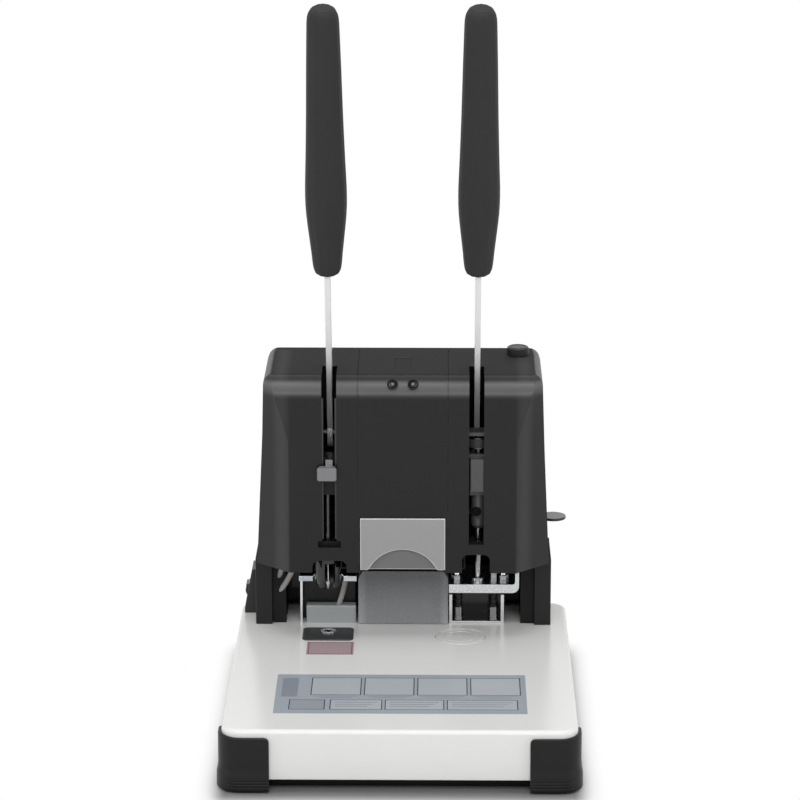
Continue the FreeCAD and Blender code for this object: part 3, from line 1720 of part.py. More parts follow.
right_station = (d.station_x, d.station_y)
motor_centre = (d.motor_x, d.motor_y)
bore_radius = d.spindle_radius + d.running_gap
motor_collar = d.motor_shaft_radius + d.motor_collar
plate_low = (d.block_top, d.block_top + d.bracket_sheet)
pulley_z = (d.pulley_bottom, d.pulley_bottom + d.pulley_width)
plate_high_low = pulley_z[1] + d.plate_clearance
plate_high = (plate_high_low, plate_high_low + d.bracket_sheet)
bracket_x = (d.motor_x - d.motor_bracket_half, d.motor_x + d.motor_bracket_half)
spindle_top = plate_high[1]
boss_y = (d.boss_front, d.boss_back)
wall_front = d.motor_bracket_back - d.bracket_sheet
motor_plate_y = (d.motor_y - d.motor_bracket_front, d.motor_bracket_back)
bracket_plates = [block(bracket_x, motor_plate_y, span) for span in (plate_low, plate_high)]
bracket_plates += [
    block((bracket_x[1], d.boss_outer), boss_y, span) for span in (plate_low, plate_high)
]
nose_middle = d.station_x - d.nose_shift
nose_x = (nose_middle - d.nose_half, nose_middle + d.nose_half)
piece(
    "drill_carriage",
    cut(
        fuse(
            *sliding_block(1),
            *bracket_plates,
            block(bracket_x, (wall_front, d.motor_bracket_back), (plate_low[1], plate_high[0])),
            block(nose_x, (d.nose_front, d.boss_front), (d.block_bottom + d.nose_lift, d.block_top)),
        ),
        rod("z", right_station, (d.block_bottom, spindle_top), bore_radius),
        rod("z", motor_centre, plate_high, motor_collar),
    ),
)


def pulley(centre, radius):
    """A drum between two rims."""
    rim = radius + d.pulley_rim
    low, high = pulley_z
    return [
        rod("z", centre, pulley_z, radius),
        rod("z", centre, (low, low + d.pulley_flange), rim),
        rod("z", centre, (high - d.pulley_flange, high), rim),
    ]


chuck_top = d.block_bottom - d.free_gap
bit_top = d.spindle_bottom - d.bit_seat
bit_tip = pad_top + ram_travel + d.bit_stop_gap
bit_edge = bit_tip + d.bit_edge_length
piece(
    "drill_spindle",
    fuse(
        rod("z", right_station, (d.spindle_bottom, spindle_top), d.spindle_radius),
        *pulley(right_station, d.spindle_pulley_radius),
    ),
)
chuck_screw_z = d.spindle_bottom - d.chuck_screw_drop
chuck_face = d.station_y - d.chuck_radius
chuck_shoulder = d.chuck_bottom + d.chuck_nose_height
chuck_nose = (d.chuck_bottom, chuck_shoulder)
piece(
    "drill_chuck",
    cut(
        fuse(
            rod("z", right_station, (chuck_shoulder, chuck_top), d.chuck_radius),
            rod("z", right_station, chuck_nose, d.chuck_nose_radius, d.chuck_radius),
        ),
        rod("z", right_station, (d.spindle_bottom, chuck_top), d.spindle_radius),
        rod("z", right_station, (d.chuck_bottom, d.spindle_bottom), d.bit_radius),
        rod(
            "y",
            (d.station_x, chuck_screw_z),
            (chuck_face, chuck_face + d.chuck_screw_depth),
            d.chuck_screw_radius,
        ),
    ),
)
piece(
    "hollow_bit",
    cut(
        fuse(
            rod("z", right_station, (bit_edge, bit_top), d.bit_radius),
            rod("z", right_station, (bit_tip, bit_edge), d.bit_bore_radius + d.bit_edge_wall, d.bit_radius),
        ),
        rod("z", right_station, (bit_tip, bit_top), d.bit_bore_radius),
    ),
)

motor_low = plate_high[1]
motor_high = motor_low + d.motor_length
motor_cap = (motor_high, motor_high + d.motor_cap_height)
motor_bore = d.motor_shaft_radius + d.running_gap
piece(
    "drill_motor",
    cut(
        fuse(
            rod("z", motor_centre, (motor_low, motor_high), d.motor_radius),
            rod("z", motor_centre, motor_cap, d.motor_radius - d.motor_cap_inset),
            rod("z", motor_centre, (plate_high[0], motor_low), motor_collar),
        ),
        rod("z", motor_centre, (plate_high[0], motor_low + d.motor_bore_depth), motor_bore),
    ),
)
piece(
    "motor_pulley",
    fuse(
        *pulley(motor_centre, d.motor_pulley_radius),
        rod("z", motor_centre, (pulley_z[1], motor_low + d.motor_bore_depth - 1), d.motor_shaft_radius),
    ),
)


def belt_face(extra):
    """The area inside a loop laid round both pulleys at a distance from their drums."""
    centres = [FreeCAD.Vector(*[number_of(v) for v in c], 0) for c in (right_station, motor_centre)]
    radii = [d.spindle_pulley_radius.value + extra, d.motor_pulley_radius.value + extra]
    line = centres[1] - centres[0]
    heading = math.atan2(line.y, line.x)
    lean = math.acos((radii[0] - radii[1]) / line.Length)
    ends = []
    for centre, radius, far in zip(centres, radii, (heading + math.pi, heading)):
        ends.append(
            [
                centre + FreeCAD.Vector(radius * math.cos(angle), radius * math.sin(angle), 0)
                for angle in (heading + lean, far, heading - lean)
            ]
        )
    edges = [
        Part.Arc(*ends[0]).toShape(),
        Part.makeLine(ends[0][2], ends[1][2]),
        Part.Arc(*reversed(ends[1])).toShape(),
        Part.makeLine(ends[1][0], ends[0][0]),
    ]
    return Part.Face(Part.Wire(edges))


belt_edge = d.pulley_flange.value + d.belt_margin.value
belt_low = pulley_z[0].value + belt_edge
belt_width = d.pulley_width.value - 2 * belt_edge
belt_inner = d.belt_gap.value
belt_loop = belt_face(belt_inner + d.belt_sheet.value).cut(belt_face(belt_inner))
belt_loop.translate(FreeCAD.Vector(0, 0, belt_low))
piece("drive_belt", feature("Belt", belt_loop.extrude(FreeCAD.Vector(0, 0, belt_width))))

# ---------------------------------------------------------------- press plate and its guide

press_top = d.press_bottom + d.press_sheet
press_z = (d.press_bottom, press_top)
press_side_back = d.bracket_front - d.press_step
post_places = [(d.post_left_x, d.post_y), (d.post_right_x, d.post_y)]
nut_places = [(d.nut_left_x, d.nut_y), (d.nut_right_x, d.nut_y)]
flange_y = (d.press_front, d.press_front + d.press_sheet)
press_holes = [rod("z", place, press_z, d.post_radius + d.free_gap) for place in post_places]
press_holes += [rod("z", place, press_z, d.nut_radius / 2) for place in nut_places]
press_holes.append(
    rod("z", right_station, (d.press_bottom, press_top + d.press_bush_height), d.bit_radius + d.free_gap)
)
piece(
    "press_plate",
    cut(
        fuse(
            block((d.press_left, d.press_right), (d.press_front, press_side_back), press_z),
            block((d.press_tongue_left, d.press_tongue_right), (press_side_back, d.press_back), press_z),
            block((d.press_left, d.press_right), flange_y, (d.press_flange_bottom, d.press_bottom)),
            block(
                (d.press_right - d.press_ear_width, d.press_right),
                flange_y,
                (press_top, d.press_bottom + d.press_ear_height - d.press_lip),
            ),
            rod("z", right_station, (press_top, press_top + d.press_bush_height), d.press_bush_radius),
            block(
                (d.press_block_x, d.press_block_x + d.press_block_width),
                (d.nut_y - d.press_block_half, d.nut_y + d.press_block_half),
                (press_top, press_top + d.press_block_height),
            ),
        ),
        *press_holes,
    ),
)


def hexagon(centre, radius):
    return [
        (
            centre[0] + radius * math.cos(math.radians(60 * corner)),
            centre[1] + radius * math.sin(math.radians(60 * corner)),
        )
        for corner in range(6)
    ]


nuts = []
stud_bottom = d.press_bottom - d.stud_head_height
for place in nut_places:
    nut = new_body("Nut")
    pad(nut, "XY_Plane", (press_top, press_top + d.nut_height), hexagon(place, d.nut_radius))
    stud_z = (stud_bottom, press_top + d.nut_height + d.stud_proud)
    stud = rod("z", place, stud_z, d.nut_radius / 2)
    stud_head = rod("z", place, (stud_bottom, d.press_bottom), d.nut_radius * d.stud_head_share)
    nuts.append(fuse(nut, stud, stud_head))
piece("press_plate_nuts", group(*nuts))

bracket_floor = d.table_height + d.bracket_floor_sheet
bracket_y = (d.bracket_front, d.bracket_back)
bracket_sides = (bracket_floor, d.bracket_side_top)
left_wall_end = d.bracket_left + d.bracket_sheet
right_wall_start = d.bracket_right - d.bracket_sheet
piece(
    "press_guide_bracket",
    fuse(
        block((d.bracket_left, d.bracket_right), bracket_y, (d.table_height, bracket_floor)),
        block((d.bracket_left, left_wall_end), bracket_y, bracket_sides),
        block((right_wall_start, d.bracket_right), bracket_y, bracket_sides),
        block(
            (d.bracket_left, d.bracket_right),
            (d.bracket_back - d.bracket_back_sheet, d.bracket_back),
            (bracket_floor, d.fork_bottom),
        ),
    ),
)

posts = []
post_coils = []
spring_low = d.post_collar_top
for place in post_places:
    posts.append(
        fuse(
            rod("z", place, (bracket_floor, d.post_top), d.post_radius),
            rod("z", place, (bracket_floor, d.post_collar_top), d.post_collar_radius),
            rod("z", place, (bracket_floor, bracket_floor + d.post_foot_height), d.post_foot_radius),
        )
    )
    post_wire = d.post_spring_wire.value / 2
    post_coil_radius = d.post_radius.value + d.free_gap.value + post_wire
    post_coil_length = d.press_bottom.value - spring_low.value - 2 * post_wire
    post_coil_pitch = post_coil_length / d.post_spring_turns.value
    helix = Part.makeHelix(post_coil_pitch, post_coil_length, post_coil_radius)
    ring = Part.Wire(
        Part.makeCircle(post_wire, FreeCAD.Vector(post_coil_radius, 0, 0), FreeCAD.Vector(0, 1, 0))
    )
    coil = feature("Coil", Part.Wire(helix).makePipeShell([ring], True, True))
    post_coils.append(set_at(coil, *place, spring_low + post_wire))
piece("guide_posts", group(*posts))
piece("post_springs", group(*post_coils))

# ---------------------------------------------------------------- checks and files

doc.recompute()
for thing in doc.Objects:
    if "Invalid" in thing.State or "Error" in thing.State:
        raise RuntimeError(f"{thing.Label} did not compute: {thing.State}")
for thing in pieces:
    if thing.Shape.isNull() or not thing.Shape.isValid():
        raise RuntimeError(f"{thing.Label} has no valid shape")
for thing in pieces:
    thing.Shape.exportStep(f"parts/{thing.Label}.step")
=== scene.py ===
"""A desk machine that drills a stack of paper and rivets it with a plastic tube."""

import json
import math

import bmesh
import bpy
from mathutils import Matrix, Vector


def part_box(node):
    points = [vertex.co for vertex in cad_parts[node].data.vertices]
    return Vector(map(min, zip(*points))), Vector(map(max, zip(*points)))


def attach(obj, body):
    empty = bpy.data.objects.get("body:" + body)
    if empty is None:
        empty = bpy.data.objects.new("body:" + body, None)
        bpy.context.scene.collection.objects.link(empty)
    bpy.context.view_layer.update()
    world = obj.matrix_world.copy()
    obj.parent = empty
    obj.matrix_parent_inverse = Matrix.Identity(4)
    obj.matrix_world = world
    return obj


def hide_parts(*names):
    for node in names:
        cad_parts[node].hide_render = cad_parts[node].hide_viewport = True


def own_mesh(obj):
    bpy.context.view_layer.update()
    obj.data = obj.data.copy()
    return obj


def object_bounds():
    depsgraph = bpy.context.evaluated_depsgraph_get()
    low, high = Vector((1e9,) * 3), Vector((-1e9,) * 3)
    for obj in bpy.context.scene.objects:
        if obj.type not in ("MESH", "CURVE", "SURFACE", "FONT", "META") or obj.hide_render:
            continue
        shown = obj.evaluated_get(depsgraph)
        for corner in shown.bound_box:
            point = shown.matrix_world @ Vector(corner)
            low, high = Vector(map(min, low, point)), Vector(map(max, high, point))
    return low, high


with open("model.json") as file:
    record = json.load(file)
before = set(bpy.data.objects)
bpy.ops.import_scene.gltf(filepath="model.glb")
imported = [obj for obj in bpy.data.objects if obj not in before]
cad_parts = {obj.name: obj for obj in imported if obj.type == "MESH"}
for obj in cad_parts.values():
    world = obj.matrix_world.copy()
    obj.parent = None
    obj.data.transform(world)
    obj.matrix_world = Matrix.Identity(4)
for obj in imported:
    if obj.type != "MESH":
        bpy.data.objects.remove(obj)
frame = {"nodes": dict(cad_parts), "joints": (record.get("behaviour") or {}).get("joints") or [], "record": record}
cad_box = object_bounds()
scene = bpy.context.scene
scene.view_settings.view_transform = "Standard"
mm = 0.001

# The camera stands three metres in front, a little above the levers, and looks down on the
# worktable.
def stand(name, data):
    """An object in the scene, from its mesh, lamp or camera data."""
    made = bpy.data.objects.new(name, data)
    scene.collection.objects.link(made)
    return made


camera_data = bpy.data.cameras.new("camera")
camera_data.lens = 157.5
camera_data.sensor_width = 36.0
camera_data.clip_end = 60.0
camera = stand("camera", camera_data)
camera.location = (0.032719, -2.934620, 1.064072)
camera.rotation_euler = (math.radians(75.3185), 0.0, math.radians(0.6714))
scene.camera = camera


# The studio is a white paper sweep, lit by a broad lamp overhead, another above the operator, a
# tall panel on each side and an even white surround. The paper shows as plain white away from the
# machine and keeps the soft shadow under it, with a painted shadow darkening it near the machine.
def make_finish(name):
    """A new material, its node tree and its main shader."""
    material = bpy.data.materials.new(name)
    material.use_nodes = True
    tree = material.node_tree
    return material, tree, tree.nodes["Principled BSDF"]


def place_node(tree, kind, inputs=None, **settings):
    """A node with its settings; each input follows a socket or takes a plain value."""
    node = tree.nodes.new(kind)
    for name, value in settings.items():
        setattr(node, name, value)
    for slot, value in (inputs or {}).items():
        if isinstance(value, bpy.types.NodeSocket):
            tree.links.new(value, node.inputs[slot])
        else:
            node.inputs[slot].default_value = value
    return node


def join_math(tree, operation, first, second=0.0):
    """The result of a Math node on sockets or plain numbers."""
    return place_node(tree, "ShaderNodeMath", {0: first, 1: second}, operation=operation).outputs[0]


def carry(tree, value, start, stop, low=0.0, high=1.0, kind="LINEAR"):
    """A value carried from one range over to another."""
    inputs = {"Value": value, "From Min": start, "From Max": stop, "To Min": low, "To Max": high}
    node = place_node(tree, "ShaderNodeMapRange", inputs, interpolation_type=kind)
    return node.outputs["Result"]


def split(tree, vector):
    """The X, Y and Z of a vector."""
    return place_node(tree, "ShaderNodeSeparateXYZ", {0: vector}).outputs


def on_object(tree):
    """Where a point lies on its own object."""
    return tree.nodes.new("ShaderNodeTexCoord").outputs["Object"]


def seen_plainly(tree):
    """Full for what the camera sees straight, in a shiny face or through a clear one."""
    rays = tree.nodes.new("ShaderNodeLightPath").outputs
    seen = join_math(tree, "MAXIMUM", rays["Is Camera Ray"], rays["Is Glossy Ray"])
    return join_math(tree, "MAXIMUM", seen, rays["Is Transmission Ray"])


def hang_lamp(name, place, aim, size, power):
    """A soft rectangular lamp that faces a point."""
    lamp_data = bpy.data.lights.new(name, "AREA")
    lamp_data.shape = "RECTANGLE"
    lamp_data.size, lamp_data.size_y = size
    lamp_data.energy = power
    lamp = stand(name, lamp_data)
    lamp.location = place
    lamp.rotation_euler = (Vector(aim) - Vector(place)).to_track_quat("-Z", "Y").to_euler()


sweep_half = 14.0
sweep_corners = [(-1, -1), (1, -1), (1, 1), (-1, 1)]
sweep_mesh = bpy.data.meshes.new("floor")
sweep_mesh.from_pydata(
    [(x * sweep_half, y * sweep_half, 0.0) for x, y in sweep_corners], [], [(0, 1, 2, 3)]
)
floor = stand("floor", sweep_mesh)
paper, tree, shader = make_finish("sweep_paper")
shader.inputs["Roughness"].default_value = 0.95
shader.inputs["Specular IOR Level"].default_value = 0.0
shader.inputs["Emission Color"].default_value = (1.0, 1.0, 1.0, 1.0)
shadow_reach = 0.06
painted_shadow_reach = 0.04
spot = split(tree, on_object(tree))
beyond = []
for axis, haste, head_start in ((0, 2.0, 0.009), (1, 1.0, 0.0)):
    from_middle = join_math(tree, "ABSOLUTE", spot[axis])
    past_edge = join_math(tree, "SUBTRACT", from_middle, cad_box[1][axis] - head_start)
    past_edge = join_math(tree, "MULTIPLY", join_math(tree, "MAXIMUM", past_edge), haste)
    beyond.append(join_math(tree, "MULTIPLY", past_edge, past_edge))
distance = join_math(tree, "SQRT", join_math(tree, "ADD", *beyond))
fade = carry(tree, distance, 0.0, shadow_reach, kind="SMOOTHSTEP")
lift = join_math(tree, "MULTIPLY", seen_plainly(tree), fade)
# painted shadow: the paper's colour darkens from 0.82 to 0.25 towards the machine's footprint
painted_contact_shadow = carry(tree, distance, 0.0, painted_shadow_reach, 0.25, 0.82, "SMOOTHSTEP")
tone = join_math(tree, "MULTIPLY", painted_contact_shadow, join_math(tree, "SUBTRACT", 1.0, lift))
tree.links.new(lift, shader.inputs["Emission Strength"])
tree.links.new(tone, shader.inputs["Base Color"])
sweep_mesh.materials.append(paper)

world = bpy.data.worlds.new("surround")
scene.world = world
world.use_nodes = True
tree = world.node_tree
surround_light = 0.38
background = tree.nodes["Background"].inputs
background["Color"].default_value = (1.0, 1.0, 1.0, 1.0)
strength = carry(tree, seen_plainly(tree), 0.0, 1.0, surround_light, 1.0)
tree.links.new(strength, background["Strength"])

hang_lamp("top_lamp", (0.0, 0.0, 2.1), (0.0, -0.05, 0.2), (2.0, 0.9), 15.0)
hang_lamp("front_lamp", (0.0, -2.1, 1.75), (0.0, 0.0, 0.25), (2.0, 0.9), 27.0)
hang_lamp("left_panel", (-1.7, -0.75, 0.7), (0.0, 0.05, 0.2), (0.25, 1.3), 5.0)
hang_lamp("right_panel", (1.7, -0.75, 0.7), (0.0, 0.05, 0.2), (0.25, 1.3), 5.0)

# The worktable is a shallow tray folded from 2 mm sheet steel, with rolled edges and a glossy white
# powder coat. A black bottom pan closes it from below on a rim.
body_of = {
    node: body
    for body, members in frame["record"]["behaviour"]["bodies"].items()
    for node in members
}
crease = math.radians(32)
flat_enough = math.radians(0.6)
weld_gap = 2e-6


def as_mesh(shape, name):
    """Ends the work on a shape and gives its plain mesh."""
    mesh = bpy.data.meshes.new(name)
    shape.to_mesh(mesh)
    shape.free()
    return mesh


def settle(piece, node):
    """Puts a piece on a CAD node's body."""
    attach(piece, body_of[node])


def seat_piece(mesh, finishes, node, edge=0.0):
    """Puts a finished mesh in the place of a CAD node, with softened edges where edge is given."""
    for finish in finishes:
        mesh.materials.append(finish)
    mesh.shade_smooth()
    piece = stand(node + "_skin", mesh)
    if edge:
        bevel = piece.modifiers.new("soft_edges", "BEVEL")
        bevel.width = edge
        bevel.segments = 2
        bevel.limit_method = "ANGLE"
        bevel.angle_limit = crease
        even = piece.modifiers.new("flat_faces", "WEIGHTED_NORMAL")
        even.weight = 90
    else:
        mesh.set_sharp_from_angle(angle=crease)
    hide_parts(node)
    settle(piece, node)
    return piece


def dress(node, finish, edge, accents=(), prepare=None):
    """A CAD node's own shape with joined faces, softened edges and a finish.

    accents are pairs of another finish and a rule on a face's centre and normal; prepare works on
    the mesh before it is seated.
    """
    shape = bmesh.new()
    shape.from_mesh(frame["nodes"][node].data)
    bmesh.ops.remove_doubles(shape, verts=shape.verts, dist=weld_gap)
    bmesh.ops.dissolve_limit(
        shape, angle_limit=flat_enough, verts=shape.verts, edges=shape.edges
    )
    for index, (_, chosen) in enumerate(accents, start=1):
        for face in shape.faces:
            if chosen(face.calc_center_median(), face.normal):
                face.material_index = index
    if prepare:
        prepare(shape)
    finishes = [finish] + [accent for accent, _ in accents]
    return seat_piece(as_mesh(shape, node + "_skin"), finishes, node, edge)


def new_effect(name, inputs, *outputs):
    """A shader node group from its inputs with their defaults, and its start and end sockets."""
    group = bpy.data.node_groups.new(name, "ShaderNodeTree")
    for socket, default in inputs.items():
        kind = "NodeSocketVector" if isinstance(default, tuple) else "NodeSocketFloat"
        made = group.interface.new_socket(socket, in_out="INPUT", socket_type=kind)
        made.default_value = default
    for socket in outputs:
        kind = "NodeSocketVector" if socket == "Normal" else "NodeSocketFloat"
        group.interface.new_socket(socket, in_out="OUTPUT", socket_type=kind)
    start = group.nodes.new("NodeGroupInput").outputs
    end = group.nodes.new("NodeGroupOutput").inputs
    return group, start, end


def place_effect(tree, group, values):
    """The outputs of one use of a shader group, with its own values."""
    return place_node(tree, "ShaderNodeGroup", values, node_tree=group).outputs


def noise_on(tree, vector, scale, detail):
    """An uneven value about a half."""
    inputs = {"Vector": vector, "Scale": scale, "Detail": detail}
    return place_node(tree, "ShaderNodeTexNoise", inputs).outputs["Fac"]


def about_one(tree, value, contrast):
    """A value about a half made into a tone about one."""
    centred = join_math(tree, "SUBTRACT", value, 0.5)
    return join_math(tree, "ADD", join_math(tree, "MULTIPLY", centred, contrast), 1.0)


def facing_of(tree):
    """The way a surface faces."""
    return tree.nodes.new("ShaderNodeNewGeometry").outputs["Normal"]


def vector_math(tree, operation, inputs):
    """A Vector Math node."""
    return place_node(tree, "ShaderNodeVectorMath", inputs, operation=operation)


# fine grain of a sprayed or moulded surface: a height, and a tone that varies slowly
coat_grain, start, end = new_effect(
    "coat_grain", {"Grain Size": 0.001, "Mottle Size": 0.05, "Contrast": 0.1}, "Height", "Tone"
)
where = on_object(coat_grain)
fineness = join_math(coat_grain, "DIVIDE", 1.0, start["Grain Size"])
coat_grain.links.new(noise_on(coat_grain, where, fineness, 2.0), end["Height"])
fineness = join_math(coat_grain, "DIVIDE", 1.0, start["Mottle Size"])
mottle = noise_on(coat_grain, where, fineness, 3.0)
coat_grain.links.new(about_one(coat_grain, mottle, start["Contrast"]), end["Tone"])

# rubbed edges with a painted highlight: a mask that is strong on outside corners and broken up by
# noise; it lightens edges both for wear and for the highlight on them
edge_wear_and_sheen, start, end = new_effect("edge_wear_and_sheen", {"Width": 0.001, "Patch Size": 0.01}, "Mask")
rounded_face = place_node(edge_wear_and_sheen, "ShaderNodeBevel", {"Radius": start["Width"]}, samples=4)
both_ways = {0: facing_of(edge_wear_and_sheen), 1: rounded_face.outputs["Normal"]}
same = vector_math(edge_wear_and_sheen, "DOT_PRODUCT", both_ways).outputs["Value"]
turned_away = join_math(edge_wear_and_sheen, "SUBTRACT", 1.0, same)
fineness = join_math(edge_wear_and_sheen, "DIVIDE", 1.0, start["Patch Size"])
patch = carry(edge_wear_and_sheen, noise_on(edge_wear_and_sheen, on_object(edge_wear_and_sheen), fineness, 4.0), 0.35, 0.75)
edge = join_math(edge_wear_and_sheen, "MULTIPLY", turned_away, 6.0)
mask = join_math(edge_wear_and_sheen, "MULTIPLY", edge, patch)
edge_wear_and_sheen.links.new(join_math(edge_wear_and_sheen, "MINIMUM", mask, 1.0), end["Mask"])

# settled dust: a mask that is full where the surface faces straight up
settled_dust, start, end = new_effect("settled_dust", {"Full At": 0.985}, "Mask")
upward = split(settled_dust, facing_of(settled_dust))["Z"]
level = carry(settled_dust, upward, 0.9, start["Full At"], kind="SMOOTHSTEP")
settled_dust.links.new(level, end["Mask"])

# brow: below a fold at the top of a sheet the face goes on leaning back a little; gives that normal,
# and a mask where a highlight is painted into the colour
brow_lean_highlight, start, end = new_effect(
    "brow_lean_highlight", {"Foot": 0.0, "Fold": 0.1, "Top": 0.2}, "Normal", "Mask"
)
height = split(brow_lean_highlight, on_object(brow_lean_highlight))["Z"]
facing = facing_of(brow_lean_highlight)
forward = carry(brow_lean_highlight, split(brow_lean_highlight, facing)["Y"], 0.0, -0.5)
slopes = []
for low, high, limits in (("Foot", "Fold", (0.0, 1.0)), ("Fold", "Top", (1.0, 0.0))):
    slope = carry(brow_lean_highlight, height, start[low], start[high], *limits, "SMOOTHSTEP")
    slopes.append(join_math(brow_lean_highlight, "MULTIPLY", slope, forward))
lean = vector_math(brow_lean_highlight, "SCALE", {0: (0.0, 0.0, 1.0), "Scale": slopes[0]})
leaning = vector_math(brow_lean_highlight, "ADD", {0: facing, 1: lean.outputs["Vector"]})
whole = vector_math(brow_lean_highlight, "NORMALIZE", {0: leaning.outputs["Vector"]})
brow_lean_highlight.links.new(whole.outputs["Vector"], end["Normal"])
brow_lean_highlight.links.new(join_math(brow_lean_highlight, "MULTIPLY", *slopes), end["Mask"])

# flank highlight: a mask along an upright fold at a distance from the middle of the object, where a
# highlight is painted into the colour
flank_highlight_band, start, end = new_effect("flank_highlight_band", {"Near": 0.10, "Far": 0.12}, "Mask")
aside = join_math(flank_highlight_band, "ABSOLUTE", split(flank_highlight_band, on_object(flank_highlight_band))["X"])
across = carry(flank_highlight_band, aside, start["Near"], start["Far"], 0.0, math.pi)
flank_highlight_band.links.new(join_math(flank_highlight_band, "SINE", across), end["Mask"])


def tinted(tree, colour, tone):
    """A colour made lighter or darker by a tone."""
    return vector_math(tree, "SCALE", {0: colour, "Scale": tone}).outputs["Vector"]


def paint_over(tree, mask, base, colour):
    """A colour laid over the base where the mask is full."""
    inputs = {"Factor": mask, "A": base, "B": (*colour, 1.0)}
    return place_node(tree, "ShaderNodeMix", inputs, data_type="RGBA").outputs["Result"]


def lay_on(tree, shader, base, gloss, height, bump, grain):
    """Gives the main shader its colour, its roughness and its grain."""
    inputs = {"Strength": bump, "Distance": grain, "Height": height}
    relief = place_node(tree, "ShaderNodeBump", inputs).outputs["Normal"]
    for socket, value in (("Base Color", base), ("Roughness", gloss), ("Normal", relief)):
        tree.links.new(value, shader.inputs[socket])


def coated(name, colour, roughness, grain=0.5 * mm, bump=0.1, **more):
    """A painted or moulded finish: a colour that varies a little, a grain, an uneven gloss, lighter edges from
    wear and painted highlight.

    more may hold mottle and contrast of the colour, spread of the gloss, shine of the surface,
    tops as the roughness of dusty flat tops, worn as the colour of rubbed edges, which
    also paints a highlight on them, and clear as the share of light that passes.
    """
    material, tree, shader = make_finish(name)
    values = {"Mottle Size": more.get("mottle", 0.05), "Contrast": more.get("contrast", 0.12)}
    effect = place_effect(tree, coat_grain, {"Grain Size": grain, **values})
    base = tinted(tree, colour, effect["Tone"])
    if "worn" in more:
        wear_and_sheen_mask = place_effect(tree, edge_wear_and_sheen, {"Width": 0.8 * mm, "Patch Size": 14 * mm})
        base = paint_over(tree, wear_and_sheen_mask["Mask"], base, more["worn"])
    swing = more.get("spread", 0.1) / 2
    gloss = carry(tree, effect["Height"], 0.3, 0.7, roughness - swing, roughness + swing)
    if "tops" in more:
        dust = place_effect(tree, settled_dust, {"Full At": 0.985})
        inputs = {"Factor": dust["Mask"], "A": gloss, "B": more["tops"]}
        gloss = place_node(tree, "ShaderNodeMix", inputs).outputs["Result"]
    lay_on(tree, shader, base, gloss, effect["Height"], bump, grain)
    shader.inputs["Specular IOR Level"].default_value = more.get("shine", 0.5)
    shader.inputs["Transmission Weight"].default_value = more.get("clear", 0.0)
    return material


white_coat = coated(
    "white_powder_coat", (0.80, 0.805, 0.785), 0.2, 1.1 * mm, 0.04, mottle=0.2, contrast=0.03
)
tray_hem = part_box("worktable_tray")[0][2]
hem_drop = 1.8 * mm


def fold_hem(shape):
    """Lets the tray's side walls down past the edge of the pan."""
    for vert in shape.verts:
        if vert.co.z < tray_hem + 0.1 * mm:
            vert.co.z -= hem_drop


dress("worktable_tray", white_coat, 0.6 * mm, prepare=fold_hem)
pan_coat = coated("pan_powder_coat", (0.006, 0.006, 0.006), 0.55, 0.5 * mm, 0.2, shine=0.2)
pan_shrink = 0.978


def set_in(shape):
    """Draws the pan's edge in, inside the tray's walls."""
    for vert in shape.verts:
        vert.co.x *= pan_shrink
        vert.co.y *= pan_shrink


dress("base_bottom_pan", pan_coat, 0.5 * mm, prepare=set_in)

# Each of the four feet is a turned rubber button under the pan, held by a screw through its middle.
foot_rubber = coated("foot_rubber", (0.02, 0.02, 0.02), 0.75, 0.8 * mm, 0.3, contrast=0.3)
dress("rubber_feet", foot_rubber, 0.8 * mm)

# The corner guards are moulded in black rubber and pushed on the two front corners of the tray.
# Each has a flared skirt with three fine grooves, and its top runs back along the tray's rolled
# edge.
guard_look = {"contrast": 0.2, "shine": 0.2, "spread": 0.16}
guard_rubber = coated("guard_rubber", (0.011, 0.011, 0.0115), 0.4, 0.6 * mm, 0.08, **guard_look)
tray_corner = 15 * mm
guard_wall = 3 * mm
guard_clearance = 0.1 * mm
guard_end_round = 4 * mm
guard_lip = 1.2 * mm
guard_front = 48.5 * mm
guard_foot = 1.8
climb_start, climb_way = 22 * mm, 26 * mm
drop_start, drop_way, horn_drop = 58 * mm, 17 * mm, 13 * mm
skirt = [(3.9, guard_foot), (4.4, guard_foot + 0.4), (4.5, guard_foot + 1.1)]
for groove in (5.4, 8.0, 10.6):
    skirt += [(4.5, groove - 0.55), (4.15, groove), (4.5, groove + 0.55)]
skirt += [(4.42, 14.0), (4.1, 16.2), (3.6, 18.4), (3.15, 20.8), (3.0, 24.0)]


def in_mm(points):
    """Pairs of millimetres as pairs of metres."""
    return [(across * mm, up * mm) for across, up in points]


def skin_rings(shape, rings):
    """Closes rings of points into a solid, with a wall from ring to ring and a cap at each end."""
    for ring, following in zip(rings, rings[1:]):
        for index in range(len(ring)):
            after = (index + 1) % len(ring)
            shape.faces.new((ring[index], ring[after], following[after], following[index]))
    shape.faces.new(rings[0])
    shape.faces.new(reversed(rings[-1]))
    bmesh.ops.recalc_face_normals(shape, faces=shape.faces)


def guard_plan(low, high):
    """Points round the corner with their outward direction, from the front end."""
    front = low.y + 4.5 * mm
    wall = low.x + 4.5 * mm
    centre = Vector((wall + tray_corner, front + tray_corner))
    steps = 10
    plan = []
    for share in (0.0, 0.01, 0.035, 0.08, 0.16, 0.25, 0.45, 0.7):
        plan.append((Vector((high.x + (centre.x - high.x) * share, front)), Vector((0, -1))))
    for step in range(steps * 2 + 1):
        turn = math.pi / 2 * step / (steps * 2)
        out = Vector((-math.sin(turn), -math.cos(turn)))
        plan.append((centre + out * tray_corner, out))
    for step in range(1, steps + 1):
        along = centre.y + (high.y - centre.y) * step / steps
        plan.append((Vector((wall, along)), Vector((-1, 0))))
    return plan


